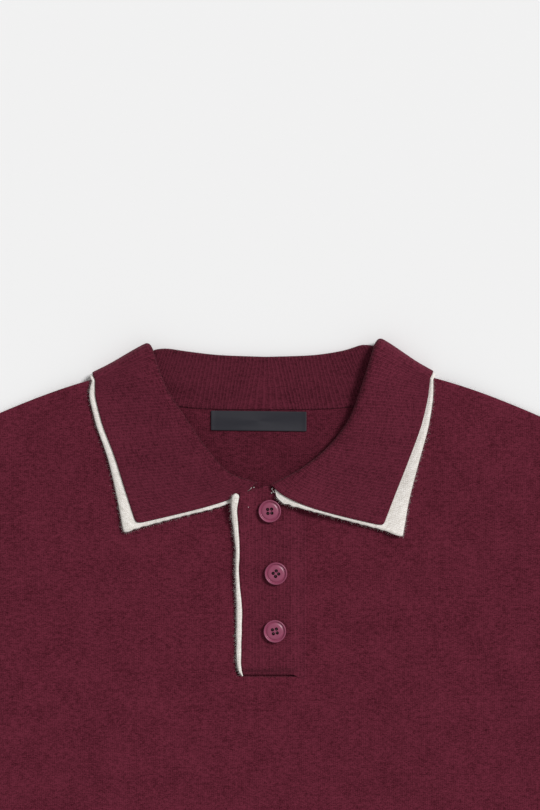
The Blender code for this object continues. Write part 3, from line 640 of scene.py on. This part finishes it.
CORNER_Z, FOOT_CURVE, FOOT_UNDER = 8.0, 1.2, dict(crease=0.5, linked=3.4)
LINKED, SEWN = dict(x=24.6, half=2.2, deep=0.2), dict(flat=6, run=5, deep=0.6)
BUTTONS = rows_of("node x y turn",
    ("button_1", 2.8, -105.4, 4),
    ("button_2", 7.4, -151.9, 38),
    ("button_3", 6.6, -194.9, 12))
under_band = lay_strip("under_band", "placket_under_band",
                       spread(NOTCH_LEFT + SEAM_GAP, UNDER_BAND_RIGHT, 16), spread(0, 1, 50),
                       lambda x: BAND_BOTTOM, lambda x: front_neck_y(x) - NECK_SEAM,
                       lambda x, y: FRONT_Z + leaf_lift(x, y), lambda x, y: 0)
top_band = lay_strip("top_band", "placket_top_band",
                     spread(BAND_LEFT, BAND_RIGHT + BAND_PAST, 34),
                     spread(0, 0.08, 16)[:-1] + spread(0.08, 1, 84),
                     band_foot_y, band_top_y, top_band_height, band_lean)

# The cream binding is a soft round edge whose width swells and narrows
tipping_rows, tipping_cuts = [], []
for rise in spread(0, 1, 150):
    y = mix(TIPPING[0]["at"], TIPPING[-1]["at"], rise)
    row = read_table(TIPPING, y)
    close = math.sqrt(max(1 - (max(rise - 0.975, 0) / 0.025) ** 2, 0.02))
    wide = row["wide"] * (1 + 0.05 * math.sin(rise * 61)) * close
    middle = row["right"] - row["wide"] * 0.5 + 0.25
    ring, cut = [], []
    for turn in spread(0, 2 * math.pi, 14):
        x = middle + math.cos(turn) * wide / 2
        round_up = math.sin(turn) * 1.25 * min(close, row["wide"] / 3)
        ring.append((x, y, band_height(middle, y) + round_up))
        cut.append((turn * row["wide"] / 2 * MM, y * MM))
    ring[-1] = ring[0]
    tipping_rows.append(ring)
    tipping_cuts.append(cut)
tipping = lay_cloth("cream_binding", tipping_rows, tipping_cuts, ring=True)
dress(tipping, cream, "placket_tipping")

# ----------------------------------------
# Collar: one piece of fine rib all round the neck. It stands up from the linked neck seam, rolls
# over and falls as a leaf, over the front at both sides and under the back behind. A cream
# underlayer is knitted to it and shows past the leaf's edges, widest at the points.
LEFT_COLLAR = rows_of("at neck roll_x roll_y edge_x edge_y fold tip",
    (0, 82.5, -7.0, -84.6, -97.0, -115.1, 1.9, 10.5),
    (1, 71, -25.9, -78.4, -104.8, -91.0, 2.6, 7.2),
    (2, 55, -45.4, -57.8, -112.9, -64.5, 3.4, 5.2),
    (3, 39, -62.3, -33.0, -122.8, -37.4, 3.6, 4.4),
    (4, 25, -75.0, -12.8, -127.2, -17.3, 3.4, 4.1),
    (5, 0, -84.4, 13.4, -127.2, -7.5, 2.6, 2.4),
    (6, -28, -75.0, 15.2, -107.0, -22.0, 2.6, 3.0),
    (7, -50, -60.0, 13.2, -75.0, -34.0, 2.6, 3.0),
    (8, -78, -33.0, 10.2, -40.0, -39.5, 2.6, 3.0),
    (9, -90, 0.0, 9.0, 0.0, -41.0, 2.6, 3.0))
RIGHT_COLLAR = rows_of("at neck roll_x roll_y edge_x edge_y fold tip",
    (0, 87.0, 3.6, -86.4, 87.5, -116.5, 1.9, 16.0),
    (1, 71, 26.3, -74.3, 96.8, -92.3, 2.6, 11.0),
    (2, 55, 46.9, -57.4, 106.9, -66.0, 3.4, 7.6),
    (3, 39, 63.0, -35.3, 116.6, -38.3, 3.8, 5.0),
    (4, 25, 72.0, -10.9, 121.0, -18.0, 3.8, 3.2),
    (5, 0, 80.6, 16.8, 122.2, -6.4, 2.8, 2.2),
    (6, -28, 72.8, 18.0, 104.0, -21.0, 2.6, 3.0),
    (7, -50, 57.5, 13.6, 73.0, -33.6, 2.6, 3.0),
    (8, -78, 31.5, 10.0, 40.0, -39.5, 2.6, 3.0),
    (9, -90, 0.0, 9.0, 0.0, -41.0, 2.6, 3.0))
SHOULDER_AT, RAISED_FROM, ROUND_REACH = 5, 3, 1.5
STAND_OFF, LEAF_OFF, ROUND_SHOULDER = 1.3, 5.6, 1.0
END_BOW, END_BOW_REACH, END_BOW_SKEW = {-1: 5.2, 1: 5.2}, 2.2, {-1: 0.52, 1: 0.62}
UNDER_LEAF_RAMP, LEAF_SETTLES, NECK_INSET = 32.0, 0.8, 0.5
UNDER_DROP, UNDER_KNIT, COLLAR_KNIT = 1.35, 1.3, 1.7
END_LIFT = {-1: 2.2, 1: 3.2}
# How much painted shade darkens the collar's roll on the left and the right
OPEN_RIB_SHADE = {-1: 1.0, 1: 0.55}
OVERHANG = {
    -1: rows_of("at rows", (0.0, -0.2), (0.13, -0.2), (0.2, 0.2), (0.35, 0.19), (0.6, 0.13),
                (1.0, 0.16)),
    1: rows_of("at rows", (0.0, 0.03), (0.03, 0.08), (0.07, 0.22), (0.13, 0.29), (0.2, 0.24),
                (0.28, 0.17),
                (0.5, 0.10), (1.0, 0.14)),
}
STAND_SHARES = [-0.07, -0.03, 0.03, 0.12, 0.22, 0.34, 0.46, 0.56, 0.64, 0.72, 0.86]
SEAM_STEP, STAND_SWELL = 0.75, 1.1


def neck_point(side, angle):
    c, s = math.cos(math.radians(angle)), math.sin(math.radians(angle))
    half = NECK_HALF - NECK_INSET
    if angle >= 0:
        return Vector((side * half * c, -(FRONT_NECK_DROP - NECK_INSET) * s, 0))
    power = 2 / BACK_NECK_POWER
    return Vector((side * half * c ** power, -(BACK_NECK_DROP - NECK_INSET) * (-s) ** power, 0))


def on_placket(x, y, turn):
    """Height of the placket under the right leaf."""
    if turn > 0 or x < 0:
        return 0
    near = min(x, BAND_STEP_AT)
    rise = band_height(near, y) - FRONT_Z - leaf_lift(near, y)
    return rise * ease((BAND_RIGHT - x) / UNDER_LEAF_RAMP + 1)


def end_lift(side, at, f):
    """The leaf's front end stands a little off the front, least at its point."""
    clear_of_band = ease((f - 0.2) / 0.3) if side < 0 else ease(f / 0.15)
    return END_LIFT[side] * ease(1 - at / 0.9) * clear_of_band * (1 - 0.55 * f)


def collar_section(side, rows, at, turn, leaf_steps):
    """Across the collar: stand and fold, then leaf, as places and facings, and past the edge."""
    row = read_table(rows, at)
    seam = neck_point(side, row["neck"])
    roll = Vector((row["roll_x"], row["roll_y"], 0))
    edge = Vector((row["edge_x"], row["edge_y"], 0))
    inward = (roll - edge).normalized()
    fold = row["fold"]
    centre = roll - inward * fold
    up_stand = (centre - seam).normalized()
    angle = math.radians(turn)

    def outward(share):
        along = up_stand.lerp(inward, share)
        aside = Vector((-along.y, along.x, 0)).normalized() * -side
        return aside * math.sin(angle) + Vector((0, 0, math.cos(angle)))
    out = outward(1)
    stand_off = STAND_OFF + ROUND_SHOULDER * ease(ROUND_REACH - abs(at - SHOULDER_AT))
    centre_off = stand_off + fold
    raised = (centre_off + fold - LEAF_OFF) * ease((at - SHOULDER_AT) / RAISED_FROM + 1)

    def lay(plan, off, share=0.0, facing=None):
        base = (AXIS_Z + leaf_lift(plan.x, plan.y) + on_placket(plan.x, plan.y, turn)
                + raised * share)
        return plan + Vector((0, 0, base)) + (facing or out) * off

    face, leaf = [], []
    for f in STAND_SHARES:
        facing = outward(ease(f))
        place = lay(seam.lerp(centre, f), mix(STAND_OFF, stand_off, ease(f)), ease(f), facing)
        swell = SEAM_STEP * ease(1 - abs(f) / 0.2)
        swell += STAND_SWELL * ease(1 - abs(f - 0.36) / 0.26)
        place.z += swell * (1 - math.cos(angle)) / 2
        face.append((place, -facing))
    for f in spread(-math.pi / 2, math.pi / 2, 12):
        facing = inward * math.cos(f) + out * math.sin(f)
        face.append((lay(centre, centre_off, 1.0) + facing * fold, facing))
    for f in spread(0, 1, leaf_steps)[1:]:
        down = ease(f / LEAF_SETTLES)
        bow = (END_BOW[side] * ease(1 - at / END_BOW_REACH)
               * math.sin(math.pi * f ** END_BOW_SKEW[side]))
        plan = centre.lerp(edge, f) + Vector((-inward.y * side, inward.x * side, 0)) * bow
        raise_end = Vector((0, 0, end_lift(side, at, f)))
        leaf.append((lay(plan, mix(centre_off + fold, LEAF_OFF, down), 1 - down) + raise_end, out))
    raise_end = Vector((0, 0, end_lift(side, at, 1)))
    beyond = [(lay(edge - inward * row["tip"] * f, LEAF_OFF) + raise_end, out)
              for f in spread(0, 1, 5)[1:]]
    return face, leaf, beyond


def collar_stations(front_steps, turn_steps, back_steps):
    stations = [(i / front_steps, 0.0) for i in range(SHOULDER_AT * front_steps)]
    stations += [(SHOULDER_AT, 180 * i / turn_steps) for i in range(turn_steps + 1)]
    stations += [(SHOULDER_AT + i / back_steps, 180.0) for i in range(1, 4 * back_steps + 1)]
    return stations


stations = collar_stations(12, 8, 5)


def whole_collar(leaf_steps):
    left = [collar_section(-1, LEFT_COLLAR, at, turn, leaf_steps) for at, turn in stations]
    right = [collar_section(1, RIGHT_COLLAR, at, turn, leaf_steps) for at, turn in stations[:-1]]
    return left + right[::-1]


def collar_cuts(sections, spare):
    """Along the collar's middle and from its seam to its edge, in metres."""
    along, cuts = 0.0, []
    for i, points in enumerate(sections):
        if i:
            before = sections[i - 1]
            k = min(len(points), len(before)) * 3 // 5
            along += (points[k][0] - before[k][0]).length * MM
        down, cut = 0.0, []
        for j, (place, facing) in enumerate(points):
            if j:
                down += (place - points[j - 1][0]).length * MM
            cut.append((along + spare, down))
        cuts.append(cut)
    return cuts


def round_corner(places, end, radius):
    """Rounds a leaf's corner, at the first or the last row and the last place of each row."""
    rows = places if end == 0 else places[::-1]
    corner = rows[0][-1].copy()
    back, side = ((far - corner).xy.normalized() for far in (rows[6][-1], rows[0][-8]))
    skew = back.x * side.y - back.y * side.x
    for row in rows[:16]:
        for place in row[-30:]:
            away = Vector((place.x - corner.x, place.y - corner.y))
            a = (away.x * side.y - away.y * side.x) / skew
            b = (back.x * away.y - back.y * away.x) / skew
            if a < radius and b < radius:
                x, y = radius - a, radius - b
                keep = max(x, y) / math.hypot(x, y)
                shift = back * (x - x * keep) + side * (y - y * keep)
                place.x += shift.x
                place.y += shift.y


collar_rib = knit_material("wine collar rib", (0.041, 0.0034, 0.0088), (0.128, 0.0174, 0.0350),
                           0.0013, 0.0013, rib=0.62, relief=0.7, roll_shade=0.45)
# Purl side of the collar, darker than its face: partly the purl side, partly painted shade on the
# stand inside the neck
collar_shaded_purl = knit_material("wine collar rib, purl side", (0.033, 0.0028, 0.0070),
                            (0.103, 0.0140, 0.0280), 0.00138, 0.0013,
                            rib=0.85, relief=0.9, roll_shade=0.3)
face_points = [face + leaf for face, leaf, beyond in whole_collar(22)]
face_places = [[place.copy() for place, facing in points] for points in face_points]
round_corner(face_places, 0, 3.6)
round_corner(face_places, -1, 2.6)
collar = lay_cloth("collar_face", face_places, collar_cuts(face_points, 0.0))
# Round the fold the rib is stretched open and its hollows show; the darkening painted from this is
# also painted shade on the roll, strongest on the left side
open_rib_shade = collar.data.attributes.new("open_rib_shade", "FLOAT", "POINT")
across = len(face_points[0])
for i, (at, turn) in enumerate(stations + stations[-2::-1]):
    amount = OPEN_RIB_SHADE[-1 if i < len(stations) else 1]
    for j in range(across):
        past = j - len(STAND_SHARES)
        open_rib_shade.data[i * across + j].value = amount * ease((past + 1) / 3) * ease((15 - past) / 8)
dress(collar, collar_rib, "collar_outer", COLLAR_KNIT)
collar.data.materials.append(collar_shaded_purl)
# The stand's faces and the start of the roll take the darker purl material: painted shade on the
# stand, and a painted dimming of the roll's lit edge
shaded_purl_faces = len(STAND_SHARES) + 5
for face in collar.data.polygons:
    if face.index % (across - 1) < shaded_purl_faces:
        face.material_index = 1

# The underlayer, with the small teeth of its linked edge along the front ends
LEAF_STEPS = 44
TEETH = dict(deep=0.45, pace=2.1, drift=0.37)
EDGE_PUFF = ((-5, 0.1), (-4, 0.45), (-3, 0.6), (-2, 0.45), (-1, -0.35))
END_PUFF = ((0, -0.35), (1, 0.4), (2, 0.5), (3, 0.1), (-4, 0.1), (-3, 0.5), (-2, 0.4), (-1, -0.35))
under_places = [[place - facing * UNDER_DROP for place, facing in leaf + beyond]
                for face, leaf, beyond in whole_collar(LEAF_STEPS)]
for side, rows, end in ((-1, LEFT_COLLAR, 0), (1, RIGHT_COLLAR, -1)):
    face, leaf, beyond = collar_section(side, rows, -1.0, 0.0, LEAF_STEPS)
    reach = [place - facing * UNDER_DROP for place, facing in leaf + beyond]
    start = under_places[end]
    added = []
    for step in (0.35, 0.7, 1.0):
        strip = []
        for j, place in enumerate(start):
            over = read_table(OVERHANG[side], min(j / LEAF_STEPS, 1))["rows"]
            bite = 0.5 + 0.5 * math.sin(j * TEETH["pace"]) * math.cos(j * TEETH["drift"])
            tooth = 1 - TEETH["deep"] * bite * ease(step * 2 - 1)
            strip.append(place.lerp(reach[j], over * step * tooth))
        added.append(strip)
    under_places = added[::-1] + under_places if end == 0 else under_places + added
for row in under_places:
    for k, puff in EDGE_PUFF:
        row[k].z += puff
for row, puff in END_PUFF:
    for place in under_places[row][10:]:
        place.z += puff
round_corner(under_places, 0, 2.4)
round_corner(under_places, -1, 1.8)
under_cut_points = [[(place, None) for place in row] for row in under_places]
under = lay_cloth("collar_cream", under_places, collar_cuts(under_cut_points, 0.4))
dress(under, cream, "collar_under", UNDER_KNIT)

# ----------------------------------------
# Buttons: three 28-line moulded resin buttons with a raised rim, a turned groove and four holes.
# Each is sewn through onto the top band with wine thread.
BUTTON_GAP, BAND_FACE, HOLE_ACROSS, HOLE_REACH, DRILL_LONG = 0.35, 1.1, 2.5, 2.1, 9.0
SHARP = math.radians(50)
BUTTON_OUTLINE = rows_of("reach high",
    (0.0, 0.0), (7.2, 0.0), (7.95, 0.3), (8.3, 0.8), (8.42, 1.5), (8.4, 2.1), (8.2, 2.5),
    (7.9, 2.66), (7.5, 2.5), (7.2, 2.05), (6.95, 1.6), (6.6, 1.4), (6.25, 1.55), (5.9, 1.85),
    (5.2, 2.0), (3.6, 2.0), (0.0, 1.95))


def thread_material(name, colour):
    material, tree = new_material(name, {"Roughness": 0.7, "Sheen Weight": 0.3})
    place = add_node(tree, "TexCoord")["Object"]
    ply = add_node(tree, "TexNoise", {"Vector": place, "Scale": 3000})["Fac"]
    two_tone(tree, ply, [c * 0.6 for c in colour], colour)
    return material


def object_from(name, bm, material):
    bmesh.ops.translate(bm, verts=bm.verts, vec=(0, CENTRE_Y, 0))
    bmesh.ops.scale(bm, verts=bm.verts, vec=(MM, MM, MM))
    obj = add_mesh(name, bm)
    obj.data.shade_smooth()
    obj.data.set_sharp_from_angle(angle=SHARP)
    return dress(obj, material)


def evaluated_mesh(obj):
    return bpy.data.meshes.new_from_object(obj.evaluated_get(bpy.context.evaluated_depsgraph_get()))


def add_cone(bm, segments, low, high, depth):
    return bmesh.ops.create_cone(bm, cap_ends=True, segments=segments, radius1=low, radius2=high,
                                 depth=depth)["verts"]


def hole_place(row, k):
    angle = math.radians(row["turn"] + 45 + 90 * k)
    return Vector((math.cos(angle), math.sin(angle), 0)) * HOLE_REACH


def drill_holes(button, row, base):
    """Cuts the four holes through the moulded resin."""
    holes = bmesh.new()
    for k in range(4):
        bit = add_cone(holes, 24, HOLE_ACROSS / 2 * MM, HOLE_ACROSS / 2 * MM, DRILL_LONG * MM)
        place = (base + hole_place(row, k) + Vector((0, CENTRE_Y, 0))) * MM
        bmesh.ops.translate(holes, verts=bit, vec=place)
    drill = add_mesh("drill", holes)
    cut = button.modifiers.new("holes", "BOOLEAN")
    cut.object = drill
    cut.operation = "DIFFERENCE"
    cut.solver = "EXACT"
    bpy.context.view_layer.update()
    drilled = evaluated_mesh(button)
    button.modifiers.remove(cut)
    drilled.name = button.name
    button.data = drilled
    drilled.shade_smooth()
    drilled.set_sharp_from_angle(angle=SHARP)
    bpy.data.objects.remove(drill)


resin, resin_tree = new_material("button resin", {
    "Roughness": 0.42, "Coat Weight": 0.2, "Coat Roughness": 0.25})
place = add_node(resin_tree, "TexCoord")["Object"]
swirl = add_node(resin_tree, "TexNoise",
                 {"Vector": place, "Scale": 140, "Detail": 5, "Distortion": 1.2})["Fac"]
two_tone(resin_tree, swirl, (0.192, 0.030, 0.070), (0.290, 0.056, 0.118))
scuffs = add_node(resin_tree, "TexNoise", {"Vector": place, "Scale": 2600})["Fac"]
bump(resin_tree, scuffs, 0.12, 0.0002)
wine_thread = thread_material("wine thread", (0.05, 0.010, 0.020))
THREAD = dict(high=1.05, low=-0.05, radius=0.3, plug_low=0.75, plug_high=0.6, plug_depth=1.2)
for row in BUTTONS:
    base = Vector((row["x"], row["y"], BAND_Z + BAND_FACE + BUTTON_GAP))
    bm = bmesh.new()
    outline = [bm.verts.new((point["reach"], 0, point["high"])) for point in BUTTON_OUTLINE]
    edges = [bm.edges.new(pair) for pair in zip(outline, outline[1:])]
    bmesh.ops.spin(bm, geom=outline + edges, angle=2 * math.pi, steps=72, axis=(0, 0, 1),
                   cent=(0, 0, 0), use_merge=True)
    bmesh.ops.remove_doubles(bm, verts=bm.verts, dist=0.001)
    bmesh.ops.recalc_face_normals(bm, faces=bm.faces)
    bmesh.ops.translate(bm, verts=bm.verts, vec=base)
    button = object_from("resin_" + row["node"], bm, resin)
    drill_holes(button, row, base)
    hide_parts(row["node"])
    sewing = bmesh.new()
    for k in (0, 1):
        for lift_up in (THREAD["high"], THREAD["low"]):
            start, stop = hole_place(row, k), hole_place(row, k + 2)
            made = add_cone(sewing, 10, THREAD["radius"], THREAD["radius"], (stop - start).length)
            turn = Vector((0, 0, 1)).rotation_difference((stop - start).normalized()).to_matrix()
            bmesh.ops.rotate(sewing, verts=made, cent=(0, 0, 0), matrix=turn)
            middle = base + (start + stop) / 2 + Vector((0, 0, lift_up))
            bmesh.ops.translate(sewing, verts=made, vec=middle)
    for k in range(4):
        made = add_cone(sewing, 12, THREAD["plug_low"], THREAD["plug_high"], THREAD["plug_depth"])
        bmesh.ops.translate(sewing, verts=made, vec=base + hole_place(row, k))
    object_from("sewn_" + row["node"], sewing, wine_thread)

# ----------------------------------------
# Neck label: a strip of dark woven satin with folded ends, sewn under the back neck seam. It is
# left bare.
LABEL = dict(left=-41.2, right=30.3, top=-30.3, bottom=-45.2, thick=0.5)
satin, satin_tree = new_material("label satin", {
    "Roughness": 0.5, "Specular IOR Level": 0.25, "Anisotropic": 0.5})
cut_map = add_node(satin_tree, "UVMap", uv_map="cut")["UV"]
threads = add_node(satin_tree, "TexWave", {"Vector": cut_map, "Scale": 900, "Distortion": 0.6},
                   bands_direction="Y")["Fac"]
two_tone(satin_tree, threads, (0.013, 0.013, 0.018), (0.026, 0.025, 0.033))
bump(satin_tree, threads, 0.3, 0.0001)
places, cuts = [], []
for y in spread(LABEL["bottom"], LABEL["top"], 14):
    row, cut = [], []
    for x in spread(LABEL["left"], LABEL["right"], 60):
        end = max(ease(1 - (x - LABEL["left"]) / 3.4), ease(1 - (LABEL["right"] - x) / 3.4))
        rise = 0.9 + 0.35 + 0.25 + 0.25 * end + 0.25 * ease((LABEL["bottom"] + 4 - y) / 4)
        row.append((x, y - 0.012 * (x - LABEL["left"]), back_height(x, y) + rise))
        cut.append((x * MM, y * MM))
    places.append(row)
    cuts.append(cut)
label = lay_cloth("satin_label", places, cuts)
dress(label, satin, "neck_label", LABEL["thick"])

# ----------------------------------------
# Nap: the brushed yarn sheds fine fibres, which stand off the cream edges and the outline. They
# are single hairs of the same yarn, worked loose by brushing.
def brush_out(name, roots, count, length, radius, material, seed):
    """Loose hairs from (place, outward) roots in millimetres, in one joined mesh."""
    chance = random.Random(seed)
    strands = bpy.data.curves.new(name, "CURVE")
    strands.dimensions = "3D"
    strands.bevel_depth = radius * MM
    strands.bevel_resolution = 0
    for k in range(count):
        place, outward = roots[chance.randrange(len(roots))]
        reach = length * (0.35 + chance.random() ** 2 * 1.1)
        way = outward + Vector((chance.gauss(0, 0.7), chance.gauss(0, 0.7), chance.gauss(0.1, 0.35)))
        way.normalize()
        curl = Vector((chance.gauss(0, 0.7), chance.gauss(0, 0.7), chance.gauss(0, 0.25)))
        spline = strands.splines.new("POLY")
        spline.points.add(3)
        for step, point in enumerate(spline.points):
            t = step / 3
            at = place + way * reach * (t - 0.15) + curl * reach * t * t * 0.5
            point.co = (at.x * MM, (CENTRE_Y + at.y) * MM, max(at.z, 0.2) * MM, 1)
            point.radius = 1 - 0.6 * t
    carrier = add_object(name + "_curve", strands)
    mesh = evaluated_mesh(carrier)
    bpy.data.objects.remove(carrier)
    mesh.materials.clear()
    dress(add_object(name, mesh), material)


def outline_roots(places, inside):
    """Points along an edge and the way out from a second, inner line beside it."""
    roots = []
    for (a, b), (c, d) in zip(zip(places, places[1:]), zip(inside, inside[1:])):
        outward = ((a + b) - (c + d)).normalized()
        for t in (0.15, 0.5, 0.85):
            roots.append((a.lerp(b, t), outward))
    return roots


cream_hair = thread_material("cream fibre", (0.62, 0.59, 0.56))
wine_hair = thread_material("wine fibre", (0.16, 0.035, 0.06))
END_ROWS = 63            # of the underlayer, from each front end
roots = []
for rows in (under_places[:END_ROWS], under_places[-END_ROWS:]):
    roots += outline_roots([row[-1] for row in rows], [row[-3] for row in rows])
roots += outline_roots(under_places[0][8:], under_places[3][8:])
roots += outline_roots(under_places[-1][3:], under_places[-4][3:])
binding_line = [Vector(ring[7]) for ring in tipping_rows]
binding_inside = [Vector(ring[0]) for ring in tipping_rows]
binding_roots = outline_roots(binding_line, binding_inside)
brush_out("cream_nap", roots, 3000, 1.8, 0.034, cream_hair, 3)
brush_out("binding_nap", binding_roots, 1500, 1.7, 0.032, cream_hair, 5)

# Wine hairs along the collar's folded top, the shoulders and the sleeves' outer folds
fold_row = len(STAND_SHARES) + 6
wine_roots = outline_roots([row[fold_row] for row in face_places], [row[-1] for row in face_places])
shoulders = []
for side in (-1, 1):
    halves = spread(128, SHOULDER_HALF, 30)
    line = [Vector((side * half, y + 0.3, FRONT_Z + leaf_lift(half, y)))
            for half, y in ((half, shoulder_y(half)) for half in halves)]
    shoulders += outline_roots(line, [place - Vector((0, 5, 0)) for place in line])
    fold, inner = ([sleeve_line(side, at)[k] + Vector((0, 0, AXIS_Z)) for at in spread(0, 1, 90)]
                   for k in (0, 2))
    shoulders += outline_roots(fold, inner)
brush_out("collar_nap", wine_roots, 1400, 1.1, 0.03, wine_hair, 7)
brush_out("shoulder_nap", shoulders, 1500, 1.2, 0.03, wine_hair, 9)

# The ends of the cream linking thread show as specks where the bands and the collar meet
SPECKS = rows_of("x y z turn long",
    (-9.0, -87.6, 10.6, 20, 0.9),
    (-13.5, -102.0, 10.6, -35, 1.9),
    (-3.0, -101.3, 8.0, 15, 1.0),
    (4.6, -88.6, 9.6, 70, 2.0),
    (5.4, -90.6, 9.2, -60, 2.2),
    (7.0, -91.6, 9.4, -20, 1.8),
    (4.2, -91.8, 8.6, 10, 1.2))
specks = bmesh.new()
for row in SPECKS:
    made = bmesh.ops.create_icosphere(specks, subdivisions=2, radius=0.5)
    bmesh.ops.scale(specks, verts=made["verts"], vec=(row["long"], 0.75, 0.7))
    bmesh.ops.rotate(specks, verts=made["verts"], cent=(0, 0, 0),
                     matrix=Matrix.Rotation(math.radians(row["turn"]), 3, "Z"))
    bmesh.ops.translate(specks, verts=made["verts"], vec=(row["x"], row["y"], row["z"]))
object_from("linking_thread", specks, cream_hair)

# ----------------------------------------
# Studio: a plain pale table, one large soft lamp far above on the right, and light from all round.
CAMERA = dict(x=3.0, y=-26.25, high=1.434, lens=85.0)

bm = bmesh.new()
bmesh.ops.create_grid(bm, x_segments=2, y_segments=2, size=4)
bmesh.ops.translate(bm, verts=bm.verts, vec=(0, 0, -0.0001))
table = add_mesh("table", bm)
paint = new_material("table paint", {"Base Color": (0.86, 0.86, 0.86, 1), "Roughness": 0.9})
table.data.materials.append(paint[0])

world = bpy.data.worlds.new("studio")
bpy.context.scene.world = world
world.use_nodes = True
plug(world.node_tree, world.node_tree.nodes["Background"],
     {"Color": (1, 1, 1, 1), "Strength": 0.446})

lamp = bpy.data.lights.new("key", "SUN")
lamp.angle = math.radians(17)
lamp.energy = 2.52
key = add_object("key", lamp)
key.rotation_euler = Vector((-0.80, -0.55, -1.0)).to_track_quat("-Z", "Y").to_euler()

camera_data = bpy.data.cameras.new("camera")
camera_data.lens = CAMERA["lens"]
camera = add_object("camera", camera_data)
camera.location = (CAMERA["x"] * MM, (CENTRE_Y + CAMERA["y"]) * MM, CAMERA["high"])
bpy.context.scene.camera = camera
bpy.context.scene.view_settings.view_transform = "Standard"
